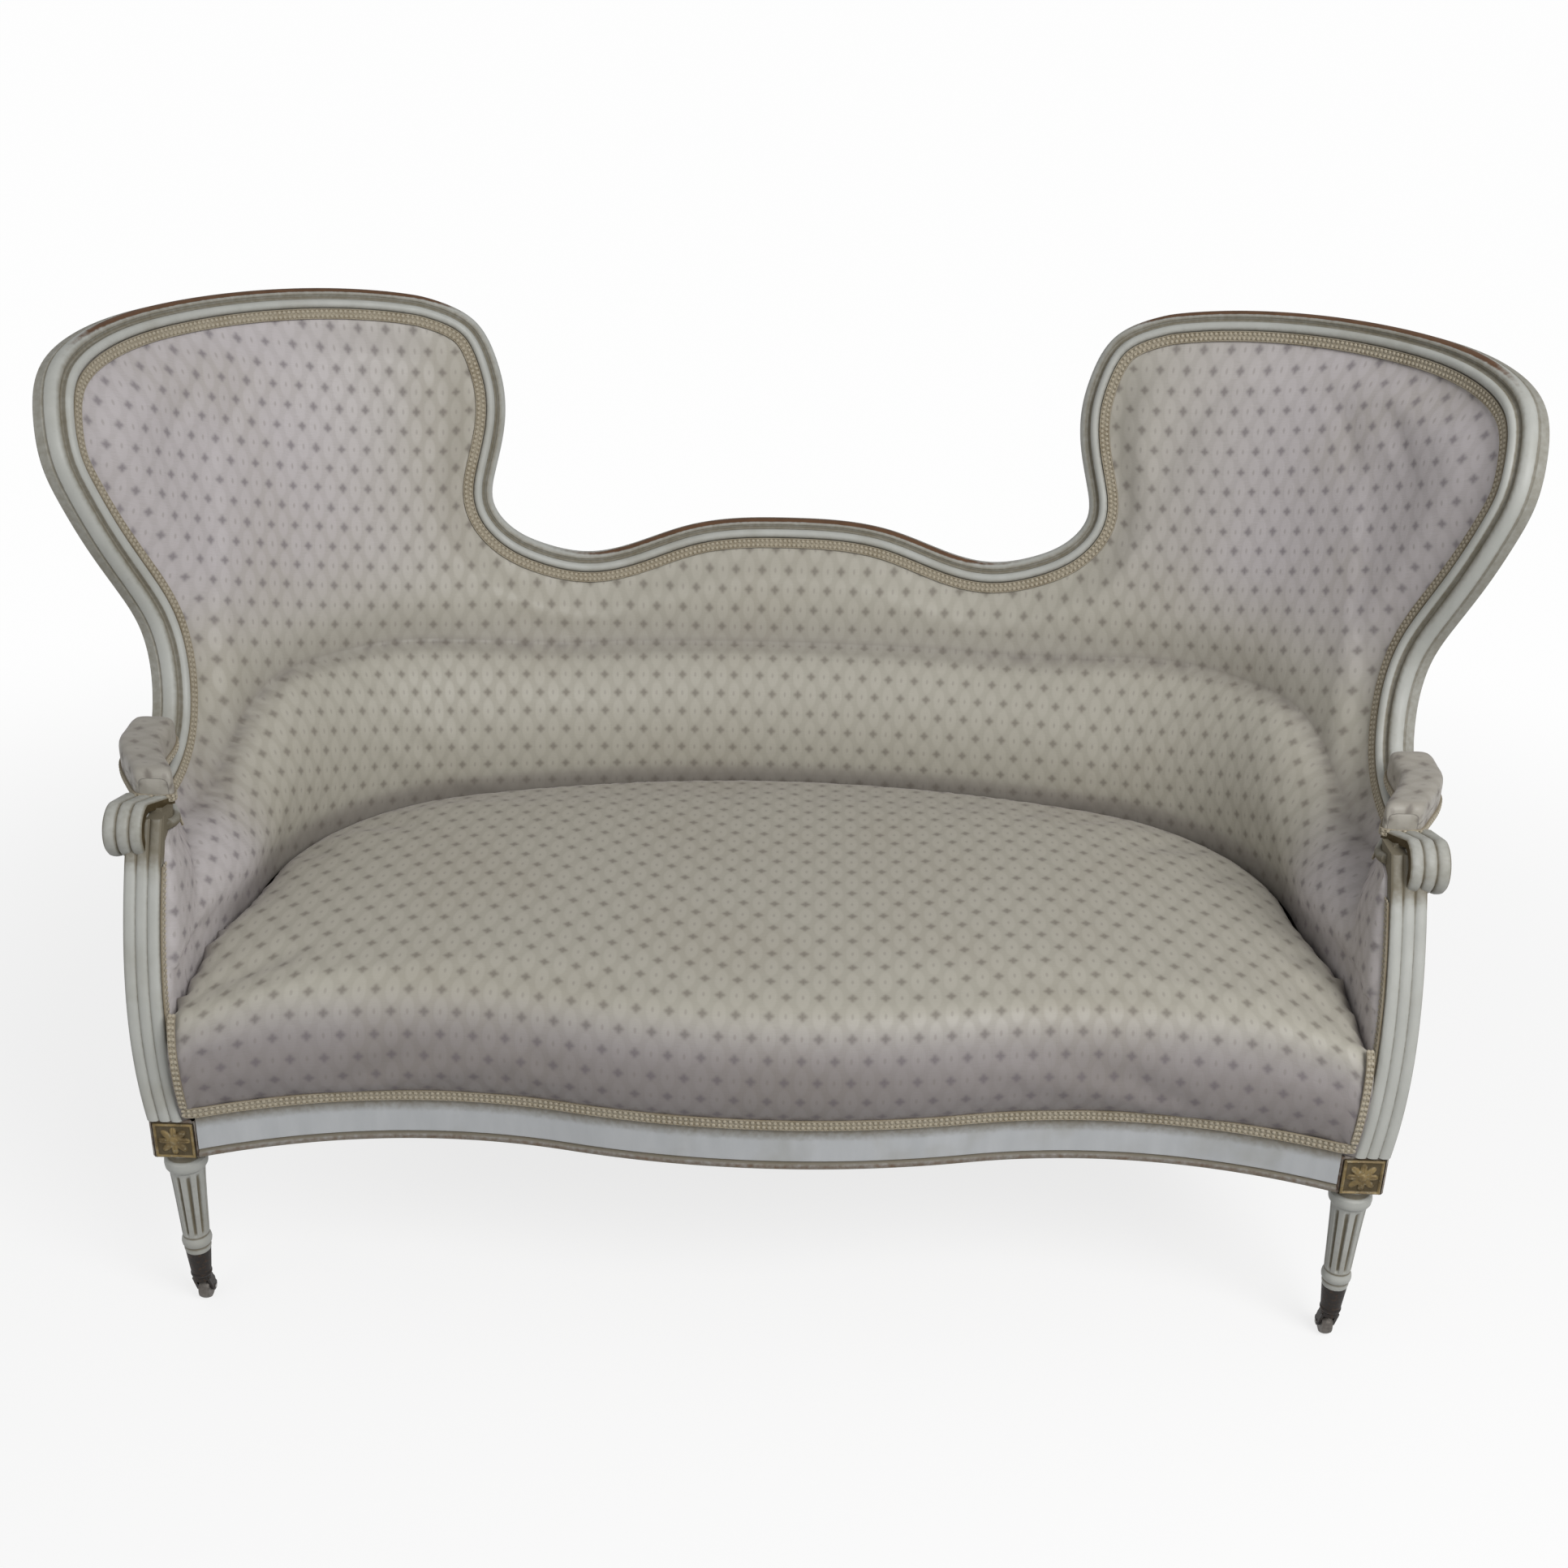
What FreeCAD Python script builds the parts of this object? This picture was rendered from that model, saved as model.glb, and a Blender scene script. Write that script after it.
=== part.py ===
import FreeCAD, Part
import math
import os
import Sketcher
from FreeCAD import Placement, Rotation, Vector

# Double spoonback sofa in millimetres. X runs along the seat, -Y is the front, +Z is up, floor at z = 0.
# The back is a tub: a plan line of two arcs and a straight side, leaning outward with height.
# Places on the tub are given as (along, height, out): distance along the plan line from the middle
# of the back, height above the floor, and distance outside the leaning surface.

doc = FreeCAD.newDocument("spoonback_sofa")
sheet = doc.addObject("Spreadsheet::Sheet", "Dimensions")

sizes = {
    "tub_half_width": 655, "tub_depth": 273.7, "corner_radius": 335, "bow_radius": 1350,
    "tub_level": 420, "tub_lean": 0.26,
    "wing_height": 1034, "crest_height": 733, "valley_height": 690, "arm_height": 576,
    "frame_width": 26, "frame_depth": 34,
    "leg_front": 388.3, "block_width": 52, "block_height": 48, "block_bottom": 216,
    "collar_radius": 23.5, "flute_top_radius": 19.5, "flute_foot_radius": 14.5, "flute_count": 10,
    "flute_size": 3.4, "ring_radius": 16.5, "ankle_height": 76,
    "rail_bottom": 219, "rail_height": 60, "rail_thickness": 30, "rail_inset": 20,
    "front_bow_back": 10, "front_dip_back": 47, "dip_place": 360, "dip_radius": 700,
    "back_leg_width": 44, "back_leg_rake": 60, "back_foot": 30,
    "upright_width": 40, "upright_thickness": 20, "upright_lean": 0.3026, "upright_level": 279,
    "post_width": 38, "post_depth": 36, "post_spread": 19,
    "scroll_radius": 34, "scroll_width": 42, "scroll_out": 34.6, "arm_turn_in": 47,
    "seat_gap": 46, "seat_edge_height": 410, "seat_crown": 437, "seat_overhang": 15, "cover_thickness": 3,
    "canvas_height": 330, "spring_radius": 33, "spring_wire": 2, "spring_turns": 4,
    "webbing_width": 50, "webbing_thickness": 1.8, "strap_count": 7,
    "lumbar_height": 575, "shoulder_height": 598, "side_pad_height": 503, "lumbar_swell": 8,
    "wing_swell": 28, "armpad_height": 36, "armpad_width": 50,
    "braid_width": 12, "braid_thickness": 3,
    "cup_height": 36, "wheel_radius": 14, "wheel_width": 12, "wheel_trail": 10, "axle_radius": 2.5,
    "pin_radius": 4, "running_gap": 0.05, "soft_gap": 0.5,
}
for row, (name, value) in enumerate(sizes.items(), start=1):
    sheet.set("A%d" % row, name)
    sheet.set("B%d" % row, str(value))
    sheet.setAlias("B%d" % row, name)
doc.recompute()


def size(name):
    return float(sheet.get(name))


nodes = []


def keep(feature, label):
    feature.Label = label
    nodes.append(feature)
    return feature


def add_shape(label, shape):
    feature = doc.addObject("Part::Feature", label)
    feature.Shape = shape
    return keep(feature, label)


def add_mirror(label, source):
    feature = doc.addObject("Part::Mirroring", label)
    feature.Source = source
    feature.Base = Vector(0, 0, 0)
    feature.Normal = Vector(1, 0, 0)
    return keep(feature, label)


def add_pair(label, shape):
    right = add_shape(label + "_right", shape)
    return right, add_mirror(label + "_left", right)


def add_both(label, *shapes):
    """One node of like pieces on both sides."""
    flipped = [shape.mirror(Vector(0, 0, 0), Vector(1, 0, 0)) for shape in shapes]
    return add_shape(label, Part.makeCompound(list(shapes) + flipped))


def new_body(label):
    return keep(doc.addObject("PartDesign::Body", label), label)


def new_sketch(body, name, role, offset=0.0):
    sketch = body.newObject("Sketcher::SketchObject", name)
    plane = [part for part in body.Origin.OriginFeatures if part.Role == role][0]
    sketch.AttachmentSupport = [(plane, "")]
    sketch.MapMode = "FlatFace"
    sketch.AttachmentOffset = Placement(Vector(0, 0, offset), Rotation())
    return sketch


def draw(sketch, start, steps):
    """Draw a closed outline: a step of one point is a line, a step of two is an arc through the first."""
    here = Vector(start[0], start[1], 0)
    for step in steps:
        points = [Vector(x, y, 0) for x, y in step]
        if len(points) == 1:
            sketch.addGeometry(Part.LineSegment(here, points[0]))
        else:
            sketch.addGeometry(Part.Arc(here, points[0], points[1]))
        here = points[-1]


def draw_rectangle(sketch, width_name, height_name):
    """Rectangle centred on the sketch origin, its two sides bound to the sheet."""
    width, height = size(width_name) / 2, size(height_name) / 2
    signs = [(-1, -1), (1, -1), (1, 1), (-1, 1)]
    corners = [Vector(x * width, y * height, 0) for x, y in signs]
    for i in range(4):
        sketch.addGeometry(Part.LineSegment(corners[i], corners[(i + 1) % 4]))
    for i in range(4):
        sketch.addConstraint(Sketcher.Constraint("Coincident", i, 2, (i + 1) % 4, 1))
        sketch.addConstraint(Sketcher.Constraint("Vertical" if i % 2 else "Horizontal", i))
    sketch.addConstraint(Sketcher.Constraint("Symmetric", 0, 1, 1, 2, -1, 1))
    across = sketch.addConstraint(Sketcher.Constraint("DistanceX", 0, 1, 0, 2, 2 * width))
    along = sketch.addConstraint(Sketcher.Constraint("DistanceY", 1, 1, 1, 2, 2 * height))
    for index, label, source in ((across, "across", width_name), (along, "along", height_name)):
        sketch.renameConstraint(index, label)
        sketch.setExpression("Constraints." + label, "Dimensions." + source)


def pad(body, sketch, length_name):
    feature = body.newObject("PartDesign::Pad", sketch.Name + "_pad")
    feature.Profile = sketch
    feature.setExpression("Length", "Dimensions." + length_name)
    body.Tip = feature
    return feature


def revolve(body, sketch, axis="V_Axis"):
    feature = body.newObject("PartDesign::Revolution", sketch.Name + "_turned")
    feature.Profile = sketch
    feature.ReferenceAxis = (sketch, [axis])
    feature.Angle = 360
    body.Tip = feature
    return feature


def outline(points, steps):
    """Closed wire of 3-D points: each step holds one point for a line or two for an arc."""
    here, edges = points, []
    for step in steps:
        if len(step) == 1:
            edges.append(Part.LineSegment(here, step[0]).toShape())
        else:
            edges.append(Part.Arc(here, step[0], step[1]).toShape())
        here = step[-1]
    return Part.Wire(edges)


def polygon(points):
    return Part.makePolygon(points + [points[0]])


def smooth(low, high, value):
    t = min(max((value - low) / (high - low), 0.0), 1.0)
    return t * t * (3 - 2 * t)


# The tub line: a shallow bow across the back, a round corner, then a straight side to the front.
# Distances along it are those of the drawing, and each run is stretched to the length its sizes give it.
drawn_bow, drawn_corner, drawn_side = 433.0, 419.0, 275.0
side_start = drawn_bow + drawn_corner
bow_radius = size("bow_radius")
corner_radius = size("corner_radius")
tub_half_width = size("tub_half_width")
tub_depth = size("tub_depth")
lean = size("tub_lean")
level = size("tub_level")
turn = math.asin((tub_half_width - corner_radius) / (bow_radius - corner_radius))
bow_centre = Vector(0, tub_depth - bow_radius, 0)
corner_centre = bow_centre + Vector(math.sin(turn), math.cos(turn), 0) * (bow_radius - corner_radius)


def stretch(along):
    """Length of the tub line for each unit of drawn distance."""
    if abs(along) < drawn_bow:
        return bow_radius * turn / drawn_bow
    if abs(along) < side_start:
        return corner_radius * (math.pi / 2 - turn) / drawn_corner
    return (corner_centre.y + size("leg_front")) / drawn_side


def tub(along):
    """Point on the tub line and the outward direction there."""
    side = -1 if along < 0 else 1
    along = abs(along)
    if along < drawn_bow:
        centre, radius, angle = bow_centre, bow_radius, turn * along / drawn_bow
    else:
        share = min((along - drawn_bow) / drawn_corner, 1.0)
        centre, radius, angle = corner_centre, corner_radius, turn + (math.pi / 2 - turn) * share
    out = Vector(math.sin(angle), math.cos(angle), 0)
    point = centre + out * radius
    forward = max(along - side_start, 0.0) * stretch(along)
    return Vector(side * point.x, point.y - forward, 0), Vector(side * out.x, out.y, 0)


def plumb(along, height, out):
    """Point at a distance outside the upright tub line."""
    point, direction = tub(along)
    return point + direction * out + Vector(0, 0, height)


def leaned(height):
    return lean * (height - level)


def on_tub(along, height, out=0.0):
    """Point at a level distance outside the leaning tub surface."""
    return plumb(along, height, leaned(height) + out)


def along_at(y):
    """Drawn distance along the tub line of a place on its straight side."""
    return side_start + (corner_centre.y - y) / stretch(side_start)


# Show-wood outline of the back on the opened-out tub, right half, from the crest to the scroll.
# Heights of the wing are shares of its rise above the valley.
valley = size("valley_height")
rise = size("wing_height") - valley
wing_points = [
    (310, 0.041), (345, 0.102), (366, 0.203), (361, 0.308), (347, 0.465), (344, 0.581), (351, 0.712),
    (373, 0.849), (413, 0.922), (470, 0.968), (560, 0.997), (650, 0.997), (735, 0.962), (785, 0.887),
    (812, 0.756), (824, 0.610), (820, 0.494), (806, 0.320), (788, 0.160), (777, 0.029), (779, -0.070)]
arm_top = size("arm_height")
arm_drop = valley - 0.07 * rise - arm_top
arm_points = [(793, 0.56), (818, 0.20), (852, 0.03), (900, 0.0), (950, -0.02), (1000, 0.06)]
knots = [Vector(0, size("crest_height"), 0),
         Vector(130, size("crest_height") - 0.28 * (size("crest_height") - valley), 0),
         Vector(252, valley, 0)]
knots += [Vector(s, valley + share * rise, 0) for s, share in wing_points]
knots += [Vector(s, arm_top + share * arm_drop, 0) for s, share in arm_points]
show_line = Part.BSplineCurve()
show_line.interpolate(Points=knots, InitialTangent=Vector(1, 0, 0), FinalTangent=Vector(1, 0.3, 0))
arm_start = knots[22].x


def turn_in(along):
    """The arm leaves the tub near its front and turns in to stand over the post."""
    return -size("arm_turn_in") * smooth(880, 1000, abs(along))


def show_station(parameter, side):
    """Point, inward-along-surface and front directions of the show-wood at one place."""
    here = show_line.value(parameter)
    run = show_line.tangent(parameter)[0]

    def place(step_along, step_up):
        along, height = side * (here.x + step_along), here.y + step_up
        return on_tub(along, height, turn_in(along))

    forward = (place(run.x, run.y) - place(-run.x, -run.y)).normalize()
    inward = place(run.y, -run.x) - place(-run.y, run.x)
    inward = (inward - forward * inward.dot(forward)).normalize()
    front = forward.cross(inward)
    if front.dot(tub(here.x * side)[1]) > 0:
        front = front * -1
    return place(0, 0), inward, front


def show_wire(parameter, side, section):
    """Closed section wire at one station; section takes a function that places (across, front)."""
    point, inward, front = show_station(parameter, side)
    return section(lambda across, ahead: point + inward * across + front * ahead)


def moulding(place):
    """Show-wood section: bead beside the covering, cove, rounded outer edge, flat back."""
    width, depth = size("frame_width"), size("frame_depth")
    bead, cove = width - 14, width - 17.5
    return outline(place(width, -3), [
        (place(width - 7, 3), place(bead, -3)),
        (place(bead - 1, -6.5), place(cove, -7)),
        (place(2.2, -11), place(0, -20)),
        (place(0, -depth),),
        (place(width, -depth),),
        (place(width, -3),)])


def braid_section(place):
    inner = size("frame_width") + 0.3
    outer = inner + size("braid_width")
    top = size("braid_thickness")
    return polygon([place(inner, 0), place(outer, 0), place(outer, top), place(inner, top)])


def knot_parameter(index):
    return show_line.parameter(knots[index])


def show_member(first, last, side, section, spacing=34.0):
    """Loft one member of the back between two knots of the outline."""
    begin, end = knot_parameter(first), knot_parameter(last)
    count = max(4, int(math.ceil(show_line.length(begin, end) / spacing)) + 1)
    shares = [i / (count - 1) for i in range(count)]
    wires = [show_wire(begin + (end - begin) * share, side, section) for share in shares]
    return Part.makeLoft(wires, True, False)


# Back frame: crest across the middle, then swoop, wing crest and outer stile on each side.
crest_ends = [knot_parameter(0), knot_parameter(2)]
crest_shares = [-1, -0.75, -0.5, -0.25, 0, 0.25, 0.5, 0.75, 1]


def crest_member(section):
    wires = []
    for share in crest_shares:
        parameter = crest_ends[0] + (crest_ends[1] - crest_ends[0]) * abs(share)
        wires.append(show_wire(parameter, -1 if share < 0 else 1, section))
    return Part.makeLoft(wires, True, False)


add_shape("centre_crest", crest_member(moulding))
add_pair("inner_swoop", show_member(2, 11, 1, moulding))
add_pair("wing_crest", show_member(11, 15, 1, moulding))
add_pair("outer_stile", show_member(15, 23, 1, moulding))

# Arm: the same moulding carried forward, ending in a rolled scroll with three reeds.
arm_end = show_station(show_line.LastParameter, 1)[0]
scroll_radius = size("scroll_radius")
scroll_x = arm_end.x + size("scroll_out")
scroll_y = arm_end.y - 0.49 * scroll_radius
scroll_z = arm_top - 0.55 * scroll_radius
reed = size("scroll_width") / 3
reed_root = scroll_radius - 3
scroll_left = Vector(scroll_x - 1.5 * reed, scroll_y, scroll_z)


def scroll_point(across, radius):
    return scroll_left + Vector(across, 0, radius)


scroll_steps = [(scroll_point(0, reed_root),)]
for i in range(3):
    top = scroll_point((i + 0.5) * reed, scroll_radius)
    scroll_steps.append((top, scroll_point((i + 1) * reed, reed_root)))
scroll_steps += [(scroll_point(3 * reed, 0),), (scroll_point(0, 0),)]
scroll = Part.Face(outline(scroll_point(0, 0), scroll_steps)).revolve(scroll_left, Vector(1, 0, 0), 360)
arm_beam = show_member(23, len(knots) - 1, 1, moulding)
add_pair("arm", arm_beam.fuse(Part.Solid(Part.Shell(scroll.Faces))))

# Arm post: reeded front, bowed forward from the scroll down to the leg block.
block = size("block_width")
leg_x = tub_half_width - size("rail_inset") + 5
leg_y = block / 2 - size("leg_front")
block_top = size("block_bottom") + size("block_height")
post_width, post_depth = size("post_width"), size("post_depth")


def post_centre(share):
    """Middle of the post at a share of its height, 0 on the block and 1 in the scroll."""
    foot_y = -size("leg_front") + 2 + post_depth / 2
    top_y = scroll_y + 0.1 * scroll_radius
    bow = 0.35 * share + 0.65 * share * share
    x = leg_x + 8 + size("post_spread") * (1 - (1 - share) ** 3)
    return Vector(x, foot_y + (top_y - foot_y) * bow, block_top + (scroll_z - block_top) * share)


def post_wire(share):
    centre = post_centre(share)
    half = post_width / 2
    third = post_width / 3

    def place(x, y):
        return centre + Vector(x, y, 0)

    front = -post_depth / 2
    steps = []
    for i in range(3):
        steps.append((place(-half + (i + 0.5) * third, front - 3), place(-half + (i + 1) * third, front)))
    steps += [(place(half, -front),), (place(-half, -front),), (place(-half, front),)]
    return outline(place(-half, front), steps)


post = Part.makeLoft([post_wire(share) for share in (0, 0.25, 0.5, 0.75, 1)], True, False)
core_end = scroll_left - Vector(0.5 * reed, 0, 0)
scroll_core = Part.makeCylinder(scroll_radius, 4 * reed, core_end, Vector(1, 0, 0))
arm_room = arm_beam.translated(Vector(0, -0.2, -0.2))
add_pair("arm_post", post.cut(scroll_core).cut(arm_room))


def post_braid_wire(share):
    centre = post_centre(share)
    inner = -post_width / 2 - 0.3
    thin = size("braid_thickness")
    low, high = -post_depth / 2 + 2, -post_depth / 2 + 2 + size("braid_width")
    corners = [(inner, low), (inner, high), (inner - thin, high), (inner - thin, low)]
    return polygon([centre + Vector(x, y, 0) for x, y in corners])


braid_shares = [0.08, 0.29, 0.5, 0.71, 0.9]
add_both("post_braid", Part.makeLoft([post_braid_wire(share) for share in braid_shares], True, False))
add_both("wing_braid", show_member(2, 11, 1, braid_section), show_member(11, 15, 1, braid_section),
         show_member(15, 22, 1, braid_section))
add_shape("crest_braid", crest_member(braid_section))

# Front legs: square block, turned collar, fluted taper, ankle ring and a pin inside the caster cup.
ankle = size("ankle_height")
block_bottom = size("block_bottom")
collar_radius = size("collar_radius")
flute_top, flute_foot = size("flute_top_radius"), size("flute_foot_radius")
ring_radius = size("ring_radius")
cup_height = size("cup_height")
pin_top_radius, pin_foot_radius = 10.5, 8.0
collar_top = block_bottom - 12
flute_start = collar_top - 22
flute_finish = ankle + 26

leg = new_body("front_leg_right")
leg.Placement = Placement(Vector(leg_x, leg_y, 0), Rotation())
leg_block = new_sketch(leg, "leg_block", "XY_Plane", block_bottom)
leg_block.setExpression("AttachmentOffset.Base.z", "Dimensions.block_bottom")
draw_rectangle(leg_block, "block_width", "block_width")
pad(leg, leg_block, "block_height")
leg_turning = new_sketch(leg, "leg_turning", "XZ_Plane")
draw(leg_turning, (0, block_bottom + 2), [
    [(collar_radius - 3, block_bottom + 2)],
    [(collar_radius - 3, block_bottom - 1)],
    [(collar_radius - 6, block_bottom - 6), (collar_radius - 2, collar_top)],
    [(collar_radius, collar_top - 6), (collar_radius - 2, collar_top - 12)],
    [(flute_top, collar_top - 15)],
    [(flute_foot, ankle + 20)],
    [(ring_radius, ankle + 14), (ring_radius - 2, ankle + 8)],
    [(ring_radius - 2.5, ankle)],
    [(pin_top_radius, ankle)],
    [(pin_foot_radius, ankle - 0.6 * cup_height)],
    [(0, ankle - 0.6 * cup_height)],
    [(0, block_bottom + 2)]])
revolve(leg, leg_turning)
flute_tip = new_sketch(leg, "flute_tip", "XY_Plane", flute_start)
flute_tip.addGeometry(Part.Circle(Vector(flute_top + 0.8, 0, 0), Vector(0, 0, 1), size("flute_size")))
flute_heel = new_sketch(leg, "flute_heel", "XY_Plane", flute_finish)
heel_radius = 0.75 * size("flute_size")
flute_heel.addGeometry(Part.Circle(Vector(flute_foot + 0.9, 0, 0), Vector(0, 0, 1), heel_radius))
flute = leg.newObject("PartDesign::SubtractiveLoft", "flute")
flute.Profile = flute_tip
flute.Sections = [flute_heel]
flutes = leg.newObject("PartDesign::PolarPattern", "flutes")
flutes.Originals = [flute]
flutes.Axis = ([part for part in leg.Origin.OriginFeatures if part.Role == "Z_Axis"][0], [""])
flutes.Angle = 360
flutes.setExpression("Occurrences", "Dimensions.flute_count")
leg.Tip = flutes
add_mirror("front_leg_left", leg)

# Carved rosette let on to the face of each leg block: eight petals round a boss in a square frame.
rosette_half = 0.42 * block
rosette_centre = Vector(leg_x, -size("leg_front"), block_bottom + size("block_height") / 2)
rosette_corner = rosette_centre - Vector(rosette_half, 1.5, rosette_half)
petals = [Part.makeBox(2 * rosette_half, 1.5, 2 * rosette_half, rosette_corner)]
for i in range(8):
    angle = i * math.pi / 4
    petal = Part.makeSphere(0.19 * block, rosette_centre)
    squeeze = FreeCAD.Matrix()
    squeeze.scale(0.62, 0.25, 1.0)
    petal = petal.translated(rosette_centre * -1).transformGeometry(squeeze)
    petal.rotate(Vector(0, 0, 0), Vector(0, 1, 0), math.degrees(angle))
    reach = Vector(math.sin(angle), 0, math.cos(angle)) * (0.2 * block)
    petals.append(petal.translated(rosette_centre + reach - Vector(0, 1.2, 0)))
petals.append(Part.makeCylinder(0.1 * block, 4, rosette_centre, Vector(0, -1, 0)))
rosette = petals[0].multiFuse(petals[1:])
wood_side = Part.makeBox(4 * block, 20, 4 * block, rosette_centre - Vector(2 * block, 0, 2 * block))
add_both("rosettes", rosette.cut(wood_side))

# Casters: cup on the ankle, swivelling horn with two cheeks, axle and wheel.
wheel_radius = size("wheel_radius")
wheel_width = size("wheel_width")
trail = size("wheel_trail")
pin_radius = size("pin_radius")
running_gap = size("running_gap")
cup_foot = ankle - cup_height
cup_floor = ankle - 0.6 * cup_height - 0.4
horn_top = cup_foot - 0.4
cheek = 3.0
cheek_in = wheel_width / 2 + 0.8

cup = new_body("caster_cup_right")
cup.Placement = leg.Placement
cup_turning = new_sketch(cup, "cup_turning", "XZ_Plane")
draw(cup_turning, (pin_radius + running_gap, cup_foot), [
    [(10.5, cup_foot)], [(11.8, cup_foot + 3), (11.2, cup_foot + 6)], [(ring_radius - 2.5, ankle)],
    [(pin_top_radius + 0.2, ankle)], [(pin_foot_radius + 0.2, cup_floor)],
    [(pin_radius + running_gap, cup_floor)], [(pin_radius + running_gap, cup_foot)]])
revolve(cup, cup_turning)
add_mirror("caster_cup_left", cup)

horn = new_body("caster_horn_right")
horn.Placement = leg.Placement
horn_turning = new_sketch(horn, "horn_turning", "XZ_Plane")
draw(horn_turning, (0, cup_floor - 0.5), [
    [(pin_radius, cup_floor - 0.5)], [(pin_radius, horn_top)], [(10.5, horn_top)],
    [(10.5, horn_top - 5)], [(0, horn_top - 5)], [(0, cup_floor - 0.5)]])
revolve(horn, horn_turning)
cheek_side = new_sketch(horn, "cheek_side", "YZ_Plane", cheek_in)
draw(cheek_side, (-6, horn_top - 3), [
    [(6, horn_top - 3)], [(trail + 4, wheel_radius + 6)],
    [(trail + 4.5, wheel_radius - 2.8), (trail - 5, wheel_radius - 1)], [(-6, horn_top - 3)]])
cheek_pad = horn.newObject("PartDesign::Pad", "cheek_pad")
cheek_pad.Profile = cheek_side
cheek_pad.Length = cheek
cheeks = horn.newObject("PartDesign::Mirrored", "cheeks")
cheeks.Originals = [cheek_pad]
cheeks.MirrorPlane = ([part for part in horn.Origin.OriginFeatures if part.Role == "YZ_Plane"][0], [""])
horn.Tip = cheeks
axle_hole = new_sketch(horn, "axle_hole", "YZ_Plane", -2 * wheel_width)
axle_hole.addGeometry(Part.Circle(Vector(trail, wheel_radius, 0), Vector(0, 0, 1), size("axle_radius")))
doc.recompute()
axle_bore = horn.newObject("PartDesign::Pocket", "axle_bore")
axle_bore.Profile = axle_hole
axle_bore.Reversed = True
axle_bore.Length = 4 * wheel_width
horn.Tip = axle_bore
add_mirror("caster_horn_left", horn)

axle = keep(doc.addObject("Part::Cylinder", "caster_axle_right"), "caster_axle_right")
axle.setExpression("Radius", "Dimensions.axle_radius")
axle.Height = 2 * (cheek_in + cheek) + 2
axle_end = Vector(leg_x - axle.Height.Value / 2, leg_y + trail, wheel_radius)
axle.Placement = Placement(axle_end, Rotation(Vector(0, 1, 0), 90))
add_mirror("caster_axle_left", axle)

wheel = new_body("caster_wheel_right")
wheel.Placement = Placement(Vector(leg_x, leg_y + trail, wheel_radius), Rotation())
wheel_turning = new_sketch(wheel, "wheel_turning", "XY_Plane")
wheel_half = wheel_width / 2
wheel_bore = size("axle_radius") + running_gap
draw(wheel_turning, (-wheel_half, wheel_bore), [
    [(wheel_half, wheel_bore)], [(wheel_half, wheel_radius - 1.5)],
    [(0, wheel_radius), (-wheel_half, wheel_radius - 1.5)], [(-wheel_half, wheel_bore)]])
revolve(wheel, wheel_turning, "H_Axis")
add_mirror("caster_wheel_left", wheel)

# Back legs: sabre-shaped, let in where the back rail meets the side rails.
rail_bottom = size("rail_bottom")
rail_top = rail_bottom + size("rail_height")
rail_outer = -size("rail_inset")
rail_inner = rail_outer - size("rail_thickness")
rail_middle = (rail_outer + rail_inner) / 2
half_leg = size("back_leg_width") / 2
leg_back, leg_face = rail_outer - 1, rail_inner + 1
rake = size("back_leg_rake")
foot = size("back_foot")
leg_place = tub(drawn_bow)[0]
back_leg = new_body("back_leg_right")
back_leg.Placement = Placement(leg_place, Rotation(Vector(0, 0, 1), 90 - math.degrees(turn)))
back_leg_side = new_sketch(back_leg, "back_leg_side", "XZ_Plane", -half_leg)
draw(back_leg_side, (leg_face, rail_top), [
    [(leg_face, rail_bottom - 4)],
    [(leg_face + 0.2 * rake, 0.42 * rail_bottom), (leg_face + rake, 0)],
    [(leg_face + rake + foot, 0)],
    [(leg_back + 0.16 * rake, 0.45 * rail_bottom), (leg_back, rail_bottom - 4)],
    [(leg_back, rail_top)],
    [(leg_face, rail_top)]])
pad(back_leg, back_leg_side, "back_leg_width")
add_mirror("back_leg_left", back_leg)

# Seat rails: serpentine in front, bowed behind, straight and round-cornered at the sides.
front_bow = size("leg_front") - size("front_bow_back")
front_dip = size("leg_front") - size("front_dip_back")
dip_place, dip_radius = size("dip_place"), size("dip_radius")
dip_drop = front_bow - front_dip
bulge_radius = (dip_place ** 2 + dip_drop ** 2) / (2 * dip_drop) - dip_radius
bulge_centre = Vector(0, bulge_radius - front_bow, 0)
dip_centre = Vector(dip_place, -front_dip - dip_radius, 0)
rail_end = leg_x - block / 2


def front_y(x, back=0.0):
    """Y of the serpentine line, moved back from the front face of the rail."""
    x = abs(x)
    change = dip_place * (bulge_radius - back) / (bulge_radius + dip_radius)
    if x < change:
        return bulge_centre.y - math.sqrt((bulge_radius - back) ** 2 - x * x)
    return dip_centre.y + math.sqrt((dip_radius + back) ** 2 - (x - dip_place) ** 2)


def serpentine(half_width, back):
    """Points of the serpentine line from left to right: ends, changes of curve and arc middles."""
    change = dip_place * (bulge_radius - back) / (bulge_radius + dip_radius)
    middle = (change + half_width) / 2
    places = [-half_width, -middle, -change, 0, change, middle, half_width]
    return [(x, front_y(x, back)) for x in places]


front_rail = new_body("front_rail")
front_rail_plan = new_sketch(front_rail, "front_rail_plan", "XY_Plane", rail_bottom)
front_rail_plan.setExpression("AttachmentOffset.Base.z", "Dimensions.rail_bottom")
face = serpentine(rail_end, 0)
rear = serpentine(rail_end, size("rail_thickness"))
draw(front_rail_plan, face[0], [
    [face[1], face[2]], [face[3], face[4]], [face[5], face[6]], [rear[6]],
    [rear[5], rear[4]], [rear[3], rear[2]], [rear[1], rear[0]], [face[0]]])
pad(front_rail, front_rail_plan, "rail_height")

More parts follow.
